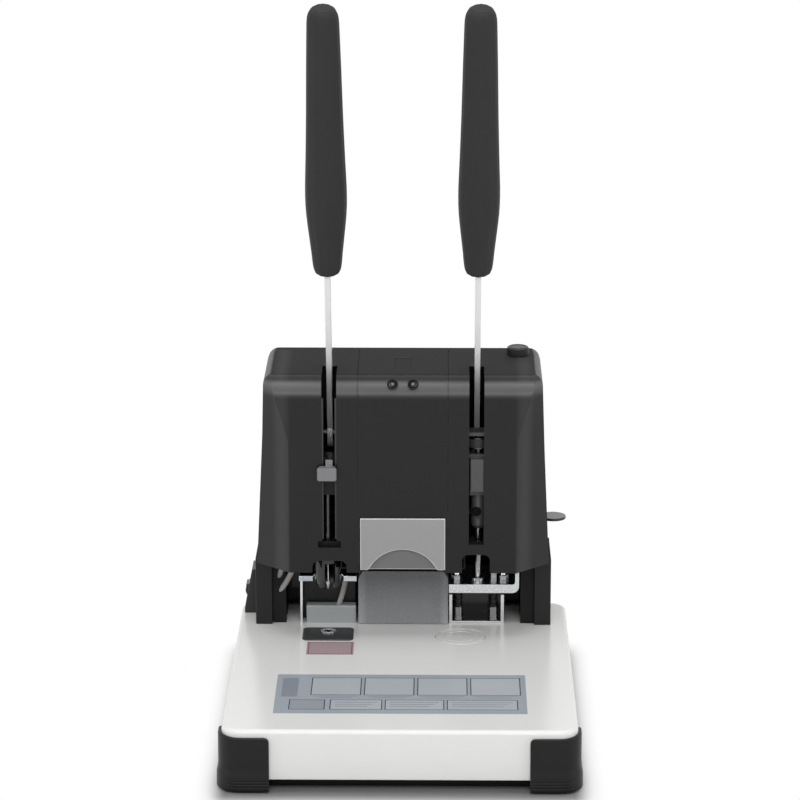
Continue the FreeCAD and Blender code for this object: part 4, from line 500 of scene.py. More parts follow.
def guard_mesh(node, mirrored):
    """One guard: its profile swept round the corner, with a top edge that climbs to the horn."""
    low, high = (Vector(corner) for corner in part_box(node))
    if mirrored:
        low.x, high.x = -high.x, -low.x
    shape = bmesh.new()
    rings = []
    way = 0.0
    before = None
    for place, out in guard_plan(low, high):
        way += (place - before).length if before else 0.0
        before = place
        climb = min(max((way - climb_start) / climb_way, 0.0), 1.0)
        drop = min(max((way - drop_start) / drop_way, 0.0), 1.0)
        top = guard_front + guard_lip * climb * climb * (3 - 2 * climb) - horn_drop * drop * drop
        if way < guard_end_round:
            rest = guard_end_round - way
            top -= guard_end_round - math.sqrt(guard_end_round**2 - rest**2)
        profile = in_mm(skirt) + [(guard_wall, top - 1.2 * mm)]
        profile += [(guard_wall - 0.35 * mm, top - 0.35 * mm), (guard_wall - 1.2 * mm, top)]
        profile += [(guard_clearance, top), (guard_clearance, guard_foot * mm)]
        ring = []
        for offset, height in profile:
            point = place + out * offset
            x = -point.x if mirrored else point.x
            ring.append(shape.verts.new((x, point.y, height)))
        rings.append(ring)
    skin_rings(shape, rings)
    return as_mesh(shape, node + "_skin")


for side in ("left", "right"):
    node = f"front_{side}_guard"
    seat_piece(guard_mesh(node, side == "right"), [guard_rubber], node, 0.5 * mm)

# The cutting pad is a turned nylon disc in a round seat under the table. It is turned by hand, so
# that the hollow bit meets fresh nylon, and a ring of old cuts shows on it.
nylon = coated("nylon", (0.74, 0.745, 0.73), 0.32, 0.9 * mm, 0.06, mottle=0.03, contrast=0.05)


def turned(name, profile, centre=(0, 0, 0), sides=64, flutes=0, flute_depth=0.0):
    """A mesh turned about +Z from (radius, height) points that run from the bottom to the top."""
    shape = bmesh.new()
    rings = []
    for radius, height in profile:
        ring = []
        for step in range(sides if radius > 0 else 1):
            turn = 2 * math.pi * step / sides
            reach = radius - flute_depth * (1 - math.cos(flutes * turn)) / 2 if radius > 0 else 0.0
            ring.append(shape.verts.new((reach * math.cos(turn), reach * math.sin(turn), height)))
        rings.append(ring)
    for low, high in zip(rings, rings[1:]):
        for step in range(sides):
            after = (step + 1) % sides
            places = ((low, step), (low, after), (high, after), (high, step))
            corners = list(dict.fromkeys(ring[at % len(ring)] for ring, at in places))
            if len(corners) > 2:
                shape.faces.new(corners)
    bmesh.ops.recalc_face_normals(shape, faces=shape.faces)
    shape.transform(Matrix.Translation(centre))
    return as_mesh(shape, name)


def centre_of(node):
    """The middle of a CAD node's box."""
    low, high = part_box(node)
    return [(start + stop) / 2 for start, stop in zip(low, high)]


pad_low, pad_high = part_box("cutting_pad")
pad_radius = (pad_high[0] - pad_low[0]) / 2
pad_top = pad_high[2]
pad_profile = [(0.0, pad_low[2]), (pad_radius - 0.5 * mm, pad_low[2])]
pad_profile += [(pad_radius, pad_low[2] + 0.5 * mm), (pad_radius, pad_top - 0.6 * mm)]
pad_profile += [(pad_radius - 0.6 * mm, pad_top)]
for groove in (19.6, 14.2):
    pad_profile += [
        ((groove + 0.5) * mm, pad_top),
        ((groove + 0.2) * mm, pad_top - 0.5 * mm),
        ((groove - 0.2) * mm, pad_top - 0.5 * mm),
        ((groove - 0.5) * mm, pad_top),
    ]
pad_profile += [(1.6 * mm, pad_top), (0.0, pad_top - 1.0 * mm)]
pad_axis = (*centre_of("cutting_pad")[:2], 0.0)
seat_piece(turned("cutting_pad_skin", pad_profile, pad_axis, 96), [nylon], "cutting_pad")
seat_nylon = coated("grey_nylon", (0.3, 0.3, 0.3), 0.4, 0.9 * mm, 0.08)
dress("cutting_pad_seat", seat_nylon, 0.4 * mm)


# The die plate is a black anodised plate let in under the rivet needle. Its hardened steel die bush
# takes the end of the plastic tube, and a small heater sits round the bush under the table.
tool_lines, start, end = new_effect(
    "tool_lines", {"Lines": (100.0, 100.0, 2500.0), "Contrast": 0.2}, "Height", "Tone"
)
stretch = vector_math(tool_lines, "MULTIPLY", {0: on_object(tool_lines), 1: start["Lines"]})
noise = noise_on(tool_lines, stretch.outputs["Vector"], 1.0, 3.0)
tool_lines.links.new(noise, end["Height"])
tool_lines.links.new(about_one(tool_lines, noise, start["Contrast"]), end["Tone"])


def worked_metal(name, colour, roughness, lines, contrast=0.25, bump=0.12, metallic=1.0):
    """Bare or plated metal with tool lines; lines is how often they change along x, y and z."""
    material, tree, shader = make_finish(name)
    effect = place_effect(tree, tool_lines, {"Lines": lines, "Contrast": contrast})
    smoothest = max(roughness - 0.08, 0.03)
    gloss = carry(tree, effect["Height"], 0.25, 0.75, smoothest, roughness + 0.08)
    base = tinted(tree, colour, effect["Tone"])
    lay_on(tree, shader, base, gloss, effect["Height"], bump, 0.2 * mm)
    shader.inputs["Metallic"].default_value = metallic
    return material


anodised = coated(
    "black_anodised", (0.016, 0.016, 0.017), 0.35, 0.4 * mm, worn=(0.2, 0.2, 0.2)
)
hard_steel = worked_metal("hard_steel", (0.60, 0.61, 0.63), 0.18, (900.0, 900.0, 3000.0))
brass = worked_metal("brass", (0.55, 0.40, 0.17), 0.3, (400.0, 400.0, 2500.0))
dress("rivet_die_plate", anodised, 0.4 * mm)
dress("lower_rivet_die", hard_steel, 0.3 * mm)
dress("lower_heater", brass, 0.3 * mm)

# The instruction sheet is a pale film stuck to the table, printed with four empty frames, a lower
# row of frames and plain rules. The small plate behind it is a bare tinted film with a border.
printed_box, start, end = new_effect(
    "printed_box",
    {"Centre X": 0.0, "Centre Y": 0.0, "Half Width": 0.01, "Half Depth": 0.01, "Line": 0.0005},
    "Fill",
    "Outline",
)
spot = split(printed_box, on_object(printed_box))
beyond = []
for axis, centre, half in (("X", "Centre X", "Half Width"), ("Y", "Centre Y", "Half Depth")):
    moved = join_math(printed_box, "SUBTRACT", spot[axis], start[centre])
    away = join_math(printed_box, "ABSOLUTE", moved)
    beyond.append(join_math(printed_box, "SUBTRACT", away, start[half]))
outside = join_math(printed_box, "MAXIMUM", *beyond)
from_edge = join_math(printed_box, "ABSOLUTE", outside)
half_line = join_math(printed_box, "DIVIDE", start["Line"], 2.0)
printed_box.links.new(join_math(printed_box, "LESS_THAN", outside, 0.0), end["Fill"])
printed_box.links.new(join_math(printed_box, "LESS_THAN", from_edge, half_line), end["Outline"])


def printed_film(name, film, roughness, boxes):
    """A printed film; a box is its centre, half width, half depth, fill and outline colours."""
    material = coated(name, film, roughness, 0.6 * mm, 0.02, mottle=0.04, contrast=0.04)
    tree = material.node_tree
    colour = tree.nodes["Principled BSDF"].inputs["Base Color"]
    base = colour.links[0].from_socket
    sockets = ("Centre X", "Centre Y", "Half Width", "Half Depth")
    for *places, fill, outline in boxes:
        values = {socket: place * mm for socket, place in zip(sockets, places)}
        box = place_effect(tree, printed_box, {**values, "Line": 0.9 * mm})
        for share, ink in (("Fill", fill), ("Outline", outline)):
            if ink:
                base = paint_over(tree, box[share], base, ink)
    tree.links.new(base, colour)
    return material


pale, ink, slate = (0.46, 0.49, 0.52), (0.05, 0.06, 0.09), (0.26, 0.29, 0.34)
sheet_boxes = [(-96, -67, 7, 24, slate, None), (-80, -111, 15, 12, (0.33, 0.36, 0.40), ink)]
for column in range(4):
    middle = -56 + 45.9 * column
    sheet_boxes.append((middle, -64, 21.3, 22, pale, ink))
    for rule in range(2):
        sheet_boxes.append((middle, -89.5 - 4 * rule, 19 - 5 * rule, 0.7, slate, None))
for middle, half in ((-38, 22), (12, 25), (70, 30)):
    sheet_boxes.append((middle, -111, half, 12, pale, ink))
    for rule in range(3):
        reach = half - 4 - 2 * rule
        sheet_boxes.append((middle - 2 * rule, -105 - 5 * rule, reach, 0.7, slate, None))
sheet_film = printed_film("instruction_film", (0.37, 0.41, 0.455), 0.24, sheet_boxes)
dress("instruction_label", sheet_film, 0.0)
plate_x, plate_y = (middle / mm for middle in centre_of("caution_label")[:2])
border = (plate_x, plate_y, 19.3, 15.8, None, (0.25, 0.09, 0.11))
plate_film = printed_film("caution_film", (0.44, 0.33, 0.35), 0.26, [border])
dress("caution_label", plate_film, 0.0)

# Inside the tray the control board carries a transformer, a relay and a capacitor on four posts.
board_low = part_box("control_board")[0]
board_green = coated("circuit_board", (0.02, 0.09, 0.04), 0.35, contrast=0.4)
winding = coated("varnished_copper", (0.25, 0.1, 0.03), 0.35, 0.4 * mm, 0.3, contrast=0.4)
raised = board_low[2] + 7 * mm
dress("control_board", board_green, 0.2 * mm, [(winding, lambda centre, _: centre.z > raised)])

# The inner frame is bent from 5 mm steel: two painted side plates that stand in the legs, two zinc
# plated bearing plates with bronze bushes for the lever shafts, and the shelf between them.
zinc = worked_metal("zinc_plate", (0.36, 0.37, 0.38), 0.38, (160.0, 160.0, 160.0), 0.35)
dress("bearing_plates", zinc, 0.4 * mm)
frame_paint = coated("dark_frame_paint", (0.006, 0.006, 0.0065), 0.5, 0.5 * mm, 0.15, shine=0.2)
for node in ("left_side_plate", "right_side_plate", "head_shelf"):
    dress(node, frame_paint, 0.4 * mm)
bronze = worked_metal("bronze", (0.42, 0.27, 0.13), 0.35, (600.0, 3000.0, 3000.0))
dress("shaft_bushes", bronze, 0.2 * mm)

# The covers are folded and welded steel sheet with a satin black powder coat. The front cover is
# one shell with faceted corners, two lever slots, two arches over the tools and two pressed lines.
black_coat = coated(
    "black_powder_coat",
    (0.0045, 0.0045, 0.0047),
    0.38,
    0.5 * mm,
    0.12,
    mottle=0.07,
    contrast=0.25,
    shine=0.34,
    tops=0.9,
    worn=(0.03, 0.03, 0.03),
)
facet_round = 6 * mm
long_fold, broad_face = 15 * mm, 5 * mm
slightest, steepest = math.radians(3), math.radians(70)


def soften_facets(shape):
    """Marks the folds between the shell's broad faces, which the press leaves wide."""
    weight = shape.edges.layers.float.new("bevel_weight_edge")
    for edge in shape.edges:
        length = edge.calc_length()
        if len(edge.link_faces) != 2 or length < long_fold:
            continue
        breadth = min(face.calc_area() for face in edge.link_faces) / length
        turn = edge.calc_face_angle_signed()
        if breadth > broad_face and slightest < turn < steepest:
            edge[weight] = 1.0


# painted highlight: the cover's colour is made lighter (0.13) in a band under its top fold and (0.026) along the
# upright folds of its corners, where the lamps would shine on it
highlighted_cover_coat = black_coat.copy()
highlighted_cover_coat.name = "painted_highlight_powder_coat"
tree = highlighted_cover_coat.node_tree
brow_highlight = place_effect(tree, brow_lean_highlight, {"Foot": 277 * mm, "Fold": 291 * mm, "Top": 296 * mm})
tree.links.new(brow_highlight["Normal"], tree.nodes["Bump"].inputs["Normal"])
flank_highlight = place_effect(tree, flank_highlight_band, {"Near": 100 * mm, "Far": 117 * mm})
colour = tree.nodes["Principled BSDF"].inputs["Base Color"]
for mask, painted_light in ((flank_highlight["Mask"], 0.026), (brow_highlight["Mask"], 0.13)):
    highlight_paint = paint_over(tree, mask, colour.links[0].from_socket, (painted_light, painted_light, painted_light))
    tree.links.new(highlight_paint, colour)
cover = dress("front_cover", highlighted_cover_coat, 0.7 * mm, prepare=soften_facets)
wide = cover.modifiers.new("pressed_corners", "BEVEL")
wide.width = facet_round
wide.segments = 4
wide.limit_method = "WEIGHT"
cover.modifiers.move(2, 0)
for node in ("left_leg_cover", "right_leg_cover"):
    dress(node, black_coat, 0.6 * mm)
shoulder = Vector((114 * mm, 289 * mm))
shoulder_round = 10 * mm


def above_shoulder(spot):
    """From the middle of the nearer top corner to a spot, seen from behind."""
    return Vector((abs(spot.x), spot.z)) - shoulder


def round_shoulders(shape):
    """Turns the straight outer corners of the rear cover into arcs that meet the front cover."""
    slanted = []
    for edge in shape.edges:
        ends = [above_shoulder(vert.co) for vert in edge.verts]
        if all(abs(end.x + end.y - shoulder_round) < 0.1 * mm for end in ends):
            if edge.calc_length() > shoulder_round:
                slanted.append(edge)
    bmesh.ops.subdivide_edges(shape, edges=slanted, cuts=7, use_grid_fill=True)
    for vert in shape.verts:
        reach = above_shoulder(vert.co)
        outside = min(reach) > 0.1 * mm and reach.x + reach.y > shoulder_round - 0.1 * mm
        if outside:
            reach *= shoulder_round / reach.length
            vert.co.x = math.copysign(shoulder.x + reach.x, vert.co.x)
            vert.co.z = shoulder.y + reach.y


dress("rear_cover", black_coat, 0.6 * mm, prepare=round_shoulders)


# Cross-recessed screws hold the rubber feet from inside the pan and the rear cover on the side
# plates. The six at the back stand proud of the cover and are blackened.
def new_growth(name, finishes=("Finish",), **inputs):
    """A Geometry Nodes tree from its inputs by kind, and its start and end sockets."""
    tree = bpy.data.node_groups.new(name, "GeometryNodeTree")
    for kind, sockets in {"Geometry": ["Geometry"], **inputs, "Material": finishes}.items():
        for socket in sockets:
            tree.interface.new_socket(socket, in_out="INPUT", socket_type="NodeSocket" + kind)
    tree.interface.new_socket("Geometry", in_out="OUTPUT", socket_type="NodeSocketGeometry")
    start = tree.nodes.new("NodeGroupInput").outputs
    end = tree.nodes.new("NodeGroupOutput").inputs
    return tree, start, end


def copied_to(tree, points, instance):
    """A copy of some geometry on each point."""
    inputs = {"Points": points, "Instance": instance}
    return place_node(tree, "GeometryNodeInstanceOnPoints", inputs).outputs["Instances"]


def raised_by(tree, geometry, rise):
    """Geometry moved up."""
    way = place_node(tree, "ShaderNodeCombineXYZ", {"Z": rise}).outputs["Vector"]
    inputs = {"Geometry": geometry, "Translation": way}
    return place_node(tree, "GeometryNodeTransform", inputs).outputs["Geometry"]


def together(tree, first, second):
    """Two pieces of geometry as one."""
    whole = place_node(tree, "GeometryNodeJoinGeometry", {"Geometry": first})
    tree.links.new(second, whole.inputs["Geometry"])
    return whole.outputs["Geometry"]


def finished(tree, geometry, finish):
    """Instances made real, with their finish."""
    real = place_node(tree, "GeometryNodeRealizeInstances", {"Geometry": geometry})
    inputs = {"Geometry": real.outputs["Geometry"], "Material": finish}
    return place_node(tree, "GeometryNodeSetMaterial", inputs).outputs["Geometry"]


def grown(name, tree, seed, values):
    """The plain mesh that a tree makes from a seed mesh with its inputs set."""
    holder = bpy.data.objects.new(name, seed)
    scene.collection.objects.link(holder)
    modifier = holder.modifiers.new("growth", "NODES")
    modifier.node_group = tree
    for item in tree.interface.items_tree:
        if item.in_out == "INPUT" and item.name in values:
            modifier[item.identifier] = values[item.name]
    bpy.context.view_layer.update()
    evaluated = holder.evaluated_get(bpy.context.evaluated_depsgraph_get())
    mesh = bpy.data.meshes.new_from_object(evaluated)
    holder.modifiers.remove(modifier)
    bpy.data.objects.remove(holder)
    return mesh


def seed_points(name, places):
    """A mesh of loose points, one for each copy that a tree makes."""
    mesh = bpy.data.meshes.new(name)
    mesh.from_pydata(places, [], [])
    return mesh


def joined(name, meshes):
    """Several meshes as one, without their materials."""
    shape = bmesh.new()
    for mesh in meshes:
        shape.from_mesh(mesh)
    for face in shape.faces:
        face.material_index = 0
    return as_mesh(shape, name)


cross_screws, start, end = new_growth(
    "cross_screws", Float=["Head Radius", "Head Height", "Shank Radius", "Shank Length"]
)
head = place_node(
    cross_screws,
    "GeometryNodeMeshCone",
    {
        "Vertices": 32,
        "Radius Top": join_math(cross_screws, "MULTIPLY", start["Head Radius"], 0.74),
        "Radius Bottom": start["Head Radius"],
        "Depth": start["Head Height"],
    },
).outputs["Mesh"]
carved = place_node(
    cross_screws, "GeometryNodeMeshBoolean", {"Mesh 1": head}, operation="DIFFERENCE"
)
recess_long = join_math(cross_screws, "MULTIPLY", start["Head Radius"], 1.1)
recess_short = join_math(cross_screws, "MULTIPLY", start["Head Radius"], 0.3)
for long_axis, short_axis in (("X", "Y"), ("Y", "X")):
    reach = {long_axis: recess_long, short_axis: recess_short, "Z": start["Head Height"]}
    size = place_node(cross_screws, "ShaderNodeCombineXYZ", reach).outputs["Vector"]
    blade = place_node(cross_screws, "GeometryNodeMeshCube", {"Size": size}).outputs["Mesh"]
    lifted = raised_by(cross_screws, blade, start["Head Height"])
    cross_screws.links.new(lifted, carved.inputs["Mesh 2"])
shank = place_node(
    cross_screws,
    "GeometryNodeMeshCylinder",
    {"Vertices": 20, "Radius": start["Shank Radius"], "Depth": start["Shank Length"]},
).outputs["Mesh"]
half_shank = join_math(cross_screws, "MULTIPLY", start["Shank Length"], -0.5)
sunk = raised_by(cross_screws, shank, half_shank)
whole = together(cross_screws, carved.outputs["Mesh"], sunk)
copies = copied_to(cross_screws, start["Geometry"], whole)
cross_screws.links.new(finished(cross_screws, copies, start["Finish"]), end["Geometry"])

black_screw = coated(
    "black_oxide", (0.02, 0.02, 0.02), 0.32, 0.3 * mm, 0.1, worn=(0.25, 0.25, 0.25)
)
foot_inset = 30 * mm
tray_low, tray_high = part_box("worktable_tray")
foot_seeds = [
    (x, y, tray_low[2])
    for x in (tray_low[0] + foot_inset, tray_high[0] - foot_inset)
    for y in (tray_low[1] + foot_inset, tray_high[1] - foot_inset)
]
rear_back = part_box("rear_cover")[1][1]
cover_screw_x = 109.5 * mm
cover_screw_heights = (66 * mm, 170 * mm, 260 * mm)
screw_values = {
    "Head Radius": 4 * mm,
    "Head Height": 2.4 * mm,
    "Shank Radius": 2 * mm,
    "Finish": black_screw,
}
foot_screws = grown(
    "foot_screws",
    cross_screws,
    seed_points("foot_seeds", foot_seeds),
    {**screw_values, "Shank Length": 8 * mm},
)
rear_seeds = [
    (side * cover_screw_x, -height, 0.0) for side in (-1, 1) for height in cover_screw_heights
]
rear_screws = grown(
    "rear_screws",
    cross_screws,
    seed_points("rear_seeds", rear_seeds),
    {**screw_values, "Shank Length": 22 * mm},
)
turned_back = Matrix.Rotation(-math.pi / 2, 4, "X")
rear_screws.transform(Matrix.Translation((0.0, rear_back, 0.0)) @ turned_back)
screw_mesh = joined("case_screws_skin", [foot_screws, rear_screws])
seat_piece(screw_mesh, [black_screw], "case_screws")

# Two columns of louvres are pressed out of the rear cover to let the motor's heat go. Each is a low
# hood that opens downwards.
louvres, start, end = new_growth(
    "pressed_louvres",
    ("Finish", "Opening Finish"),
    Int=["Rows"],
    Float=["Row Pitch", "Column Pitch"],
)
row_gaps = join_math(louvres, "SUBTRACT", start["Rows"], 1.0)
rows = place_node(
    louvres,
    "GeometryNodeMeshGrid",
    {
        "Vertices X": 2,
        "Vertices Y": start["Rows"],
        "Size X": start["Column Pitch"],
        "Size Y": join_math(louvres, "MULTIPLY", row_gaps, start["Row Pitch"]),
    },
).outputs["Mesh"]
on_end = {"Rotation": (math.pi / 2, 0.0, 0.0), "Geometry": rows}
upright = place_node(louvres, "GeometryNodeTransform", on_end).outputs["Geometry"]
copies = copied_to(louvres, upright, start["Geometry"])
facing = louvres.nodes.new("GeometryNodeInputNormal").outputs["Normal"]
down = {"A": split(louvres, facing)["Z"], "B": -0.7}
under = place_node(louvres, "FunctionNodeCompare", down, operation="LESS_THAN")
shade = place_node(
    louvres,
    "GeometryNodeSetMaterial",
    {
        "Geometry": finished(louvres, copies, start["Finish"]),
        "Selection": under.outputs["Result"],
        "Material": start["Opening Finish"],
    },
)
louvres.links.new(shade.outputs["Geometry"], end["Geometry"])

hood_half = 18 * mm
hood_end = 2.5 * mm
hood_depth = 1.1 * mm
hood_root = 0.4 * mm
hood_height = 4.2 * mm
sheet = 0.05 * mm
hood = bmesh.new()
sections = []
flat_half = hood_half - hood_end
for x, rise in ((-hood_half, 0.0), (-flat_half, 1.0), (flat_half, 1.0), (hood_half, 0.0)):
    outline = [(-hood_root, hood_height), (-hood_root, 0.0), (rise * hood_depth - sheet, 0.0)]
    outline += [(rise * hood_depth * 0.8 - sheet, hood_height * 0.35), (-sheet, hood_height)]
    sections.append([hood.verts.new((x, y, z)) for y, z in outline])
skin_rings(hood, sections)
opening_black = coated("louvre_opening", (0.003, 0.003, 0.003), 0.8)
louvre_values = {
    "Rows": 8,
    "Row Pitch": 9 * mm,
    "Column Pitch": 92 * mm,
    "Finish": black_coat,
    "Opening Finish": opening_black,
}
louvre_mesh = grown("rear_louvres", louvres, as_mesh(hood, "louvre_hood"), louvre_values)
louvre_height = 222 * mm
louvre_mesh.transform(Matrix.Translation((0.0, rear_back, louvre_height)))


def add_piece(name, mesh, node):
    """A small piece that the CAD leaves out, on a node's body."""
    mesh.shade_smooth()
    mesh.set_sharp_from_angle(angle=crease)
    settle(stand(name, mesh), node)


add_piece("rear_louvres", louvre_mesh, "rear_cover")

# The mains inlet is a moulded socket with three nickel-plated blades, and the rocker switch sits in
# a moulded housing on the left leg.
black_plastic = coated("black_plastic", (0.016, 0.016, 0.016), 0.34, shine=0.42)
nickel = worked_metal("nickel_plate", (0.62, 0.60, 0.56), 0.22, (500.0, 500.0, 500.0))
inlet_x, _, inlet_z = centre_of("power_inlet")
inlet_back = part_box("power_inlet")[1][1]
blade_half, blade_rise = 8.3 * mm, 5.5 * mm
blade_reach = inlet_back - 6 * mm


def on_blade(centre, _):
    return (
        abs(centre.x - inlet_x) < blade_half
        and abs(centre.z - inlet_z) < blade_rise
        and inlet_back - 22 * mm < centre.y < blade_reach
    )


dress("power_inlet", black_plastic, 0.3 * mm, [(nickel, on_blade)])
dress("switch_housing", black_plastic, 0.8 * mm)
rocker_plastic = coated("rocker_plastic", (0.01, 0.01, 0.01), 0.22, 0.6 * mm, 0.05)
dress("power_switch", rocker_plastic, 0.2 * mm)

# Each indicator lamp is a small clear dome in a dished black bezel that snaps into the rounded top
# of the cover. Its collar lies square on the curve and hides the hole.
clear_dome = coated("clear_dome", (0.26, 0.26, 0.255), 0.2, 0.8 * mm, 0.01, shine=0.5, clear=0.2)
bezel_black = coated("bezel_black", (0.003, 0.003, 0.003), 0.22, 0.5 * mm, 0.05, shine=0.3)
lamp_spacing = 18.2 * mm
lamp_middle = centre_of("indicator_leds")[2]
lamp_lean = math.radians(17)
collar_face = 68.2 * mm
bezel_profile = [(0.0, -2.4), (4.9, -2.4), (4.9, 0.3), (4.5, 0.8), (3.9, 0.8), (3.2, 0.1)]
bezel_profile += [(2.6, -0.9), (0.0, -0.9)]
dome_profile = [(0.0, -1.0), (1.4, -1.0), (1.4, -0.2), (1.2, 0.2), (0.8, 0.5), (0.0, 0.65)]
square_on = Matrix.Rotation(math.pi / 2 - lamp_lean, 4, "X")
lamp_shape = bmesh.new()
for side in (-1, 1):
    place = Matrix.Translation((side * lamp_spacing / 2, collar_face, lamp_middle)) @ square_on
    for index, profile in enumerate((bezel_profile, dome_profile)):
        turned_mesh = turned("lamp_part", in_mm(profile), sides=40)
        turned_mesh.transform(place)
        first = len(lamp_shape.faces)
        lamp_shape.from_mesh(turned_mesh)
        lamp_shape.faces.ensure_lookup_table()
        for face in lamp_shape.faces[first:]:
            face.material_index = index
lamp_mesh = as_mesh(lamp_shape, "indicator_leds_skin")
seat_piece(lamp_mesh, [bezel_black, clear_dome], "indicator_leds")

# The speed knob on top is turned from black plastic, with a ribbed rim.
knurled_rim, start, end = new_growth(
    "knurled_rim", Int=["Ribs"], Float=["Rim Radius", "Rib Radius", "Rib Height", "Rib Middle"]
)
round_rim = {"Vertices": start["Ribs"], "Radius": start["Rim Radius"]}
rim = place_node(knurled_rim, "GeometryNodeMeshCircle", round_rim).outputs["Mesh"]
one_rib = {"Vertices": 8, "Radius": start["Rib Radius"], "Depth": start["Rib Height"]}
rib = place_node(knurled_rim, "GeometryNodeMeshCylinder", one_rib).outputs["Mesh"]
lifted = raised_by(knurled_rim, copied_to(knurled_rim, rim, rib), start["Rib Middle"])
whole = together(knurled_rim, start["Geometry"], lifted)
knurled_rim.links.new(finished(knurled_rim, whole, start["Finish"]), end["Geometry"])

knob_low, knob_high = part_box("power_knob")
knob_radius = (knob_high[0] - knob_low[0]) / 2
knob_foot = knob_high[2] - 8 * mm
knob_stem = 3 * mm
knob_height = knob_high[2] - knob_foot
knob_profile = [
    (0.0, knob_low[2] - knob_foot),
    (knob_stem, knob_low[2] - knob_foot),
    (knob_stem, 0.0),
    (knob_radius - 0.7 * mm, 0.0),
    (knob_radius - 0.5 * mm, 0.3 * mm),
    (knob_radius - 0.5 * mm, knob_height - 1.2 * mm),
    (knob_radius - 0.9 * mm, knob_height - 0.5 * mm),
    (knob_radius - 1.8 * mm, knob_height - 0.1 * mm),
    (knob_radius - 2.4 * mm, knob_height),
    (knob_radius - 3.2 * mm, knob_height - 0.5 * mm),
    (0.0, knob_height - 0.5 * mm),
]
knob_plastic = coated("knob_plastic", (0.014, 0.014, 0.014), 0.38, 0.4 * mm, 0.12, shine=0.4)
rib_height = knob_height - 2.2 * mm
knob_values = {
    "Ribs": 44,
    "Rim Radius": knob_radius - 0.55 * mm,
    "Rib Radius": 0.5 * mm,
    "Rib Height": rib_height,
    "Rib Middle": rib_height / 2 + 0.5 * mm,
    "Finish": knob_plastic,
}
knob_mesh = joined(
    "power_knob_skin",
    [grown("knob_rim", knurled_rim, turned("knob_body", knob_profile, sides=72), knob_values)],
)
knob_mesh.transform(Matrix.Translation((*centre_of("power_knob")[:2], knob_foot)))
seat_piece(knob_mesh, [knob_plastic], "power_knob")

# The stop lever is a flat steel disc on an arm, painted grey, that swings out under the right-hand
# corner of the cover. Its rim is black.
stop_grey = coated("stop_paint", (0.16, 0.16, 0.165), 0.35)
stop_rim = coated("stop_rim", (0.02, 0.02, 0.02), 0.4)
dress("stop_lever", stop_rim, 0.4 * mm, [(stop_grey, lambda _, normal: normal.z > 0.9)])

# The tube drawer and the chip bin are moulded in polycarbonate with a frosted face: the drawer
# clear, with a half-round finger notch, and the bin smoked. The drawer's bevelled edges carry a
# painted highlight.
frost = {"contrast": 0.04, "shine": 0.3, "clear": 0.15}
frosted_clear = coated("frosted_clear", (0.37, 0.37, 0.37), 0.34, 0.7 * mm, 0.02, **frost)
notch_painted_shade = coated("notch_painted_shade", (0.19, 0.19, 0.19), 0.34, 0.7 * mm, 0.02, **frost)
edge_painted_highlight = coated("edge_painted_highlight", (0.72, 0.72, 0.72), 0.15, 0.7 * mm, 0.01, contrast=0.04)
notch_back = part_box("tube_drawer")[0][1] + 2 * mm


# painted shade: the faces at the back of the finger notch are coloured darker
def in_notch(centre, normal):
    return normal.y < -0.9 and notch_back < centre.y < notch_back + 2 * mm


drawer_accents = [(notch_painted_shade, in_notch), (edge_painted_highlight, lambda *_: False)]
drawer = dress("tube_drawer", frosted_clear, 0.6 * mm, drawer_accents)
# painted highlight: the drawer's bevelled edges take a light colour
drawer.modifiers["soft_edges"].material = 2

smoke = {"contrast": 0.04, "shine": 0.4, "clear": 0.2}
frosted_smoke = coated("frosted_smoke", (0.225, 0.23, 0.24), 0.25, 0.7 * mm, 0.02, **smoke)
bin_low, bin_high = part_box("chip_bin")
tree = frosted_smoke.node_tree
spot = split(tree, on_object(tree))
bin_middle = (bin_low[2] + bin_high[2]) / 2
# painted light: the bin's colour is made up to 1.35 times lighter towards the bottom, as if lit by the table, and
# up to 1.4 times lighter along its side walls
lower = carry(tree, spot["Z"], bin_low[2], bin_middle, 1.35, 1.0)
aside = join_math(tree, "ABSOLUTE", spot["X"])
beside = carry(tree, aside, bin_high[0] - 8 * mm, bin_high[0] - 4 * mm, 1.0, 1.4)
painted_bin_light = join_math(tree, "MULTIPLY", lower, beside)
tint = tree.nodes["Principled BSDF"].inputs["Base Color"].links[0].from_node
own_tone = tint.inputs["Scale"].links[0].from_socket
tree.links.new(join_math(tree, "MULTIPLY", own_tone, painted_bin_light), tint.inputs["Scale"])
dress("chip_bin", frosted_smoke, 0.5 * mm)

# Each lever is a flat steel bar, brushed along its length and nickel plated, on a turned shaft. The
# shaft carries a toothed sector that drives the tool's rack, and a coil spring lifts it back.
brushed_bar = worked_metal(
    "brushed_bar", (0.82, 0.82, 0.81), 0.4, (2500.0, 2500.0, 60.0), 0.12, 0.05, metallic=0.1
)
shaft_steel = worked_metal("turned_shaft", (0.08, 0.08, 0.085), 0.3, (3000.0, 400.0, 400.0))
gear_steel = worked_metal("gear_steel", (0.34, 0.34, 0.35), 0.3, (500.0, 900.0, 900.0))
for side in ("left", "right"):
    dress(f"{side}_lever_bar", brushed_bar, 0.5 * mm)
    dress(f"{side}_lever_shaft", shaft_steel, 0.3 * mm)
    dress(f"{side}_sector_gear", gear_steel, 0.15 * mm)
spring_steel = worked_metal("spring_steel", (0.20, 0.20, 0.21), 0.3, (900.0, 900.0, 900.0))
dress("lever_return_springs", spring_steel, 0.0)
dress("slide_rails", shaft_steel, 0.3 * mm)

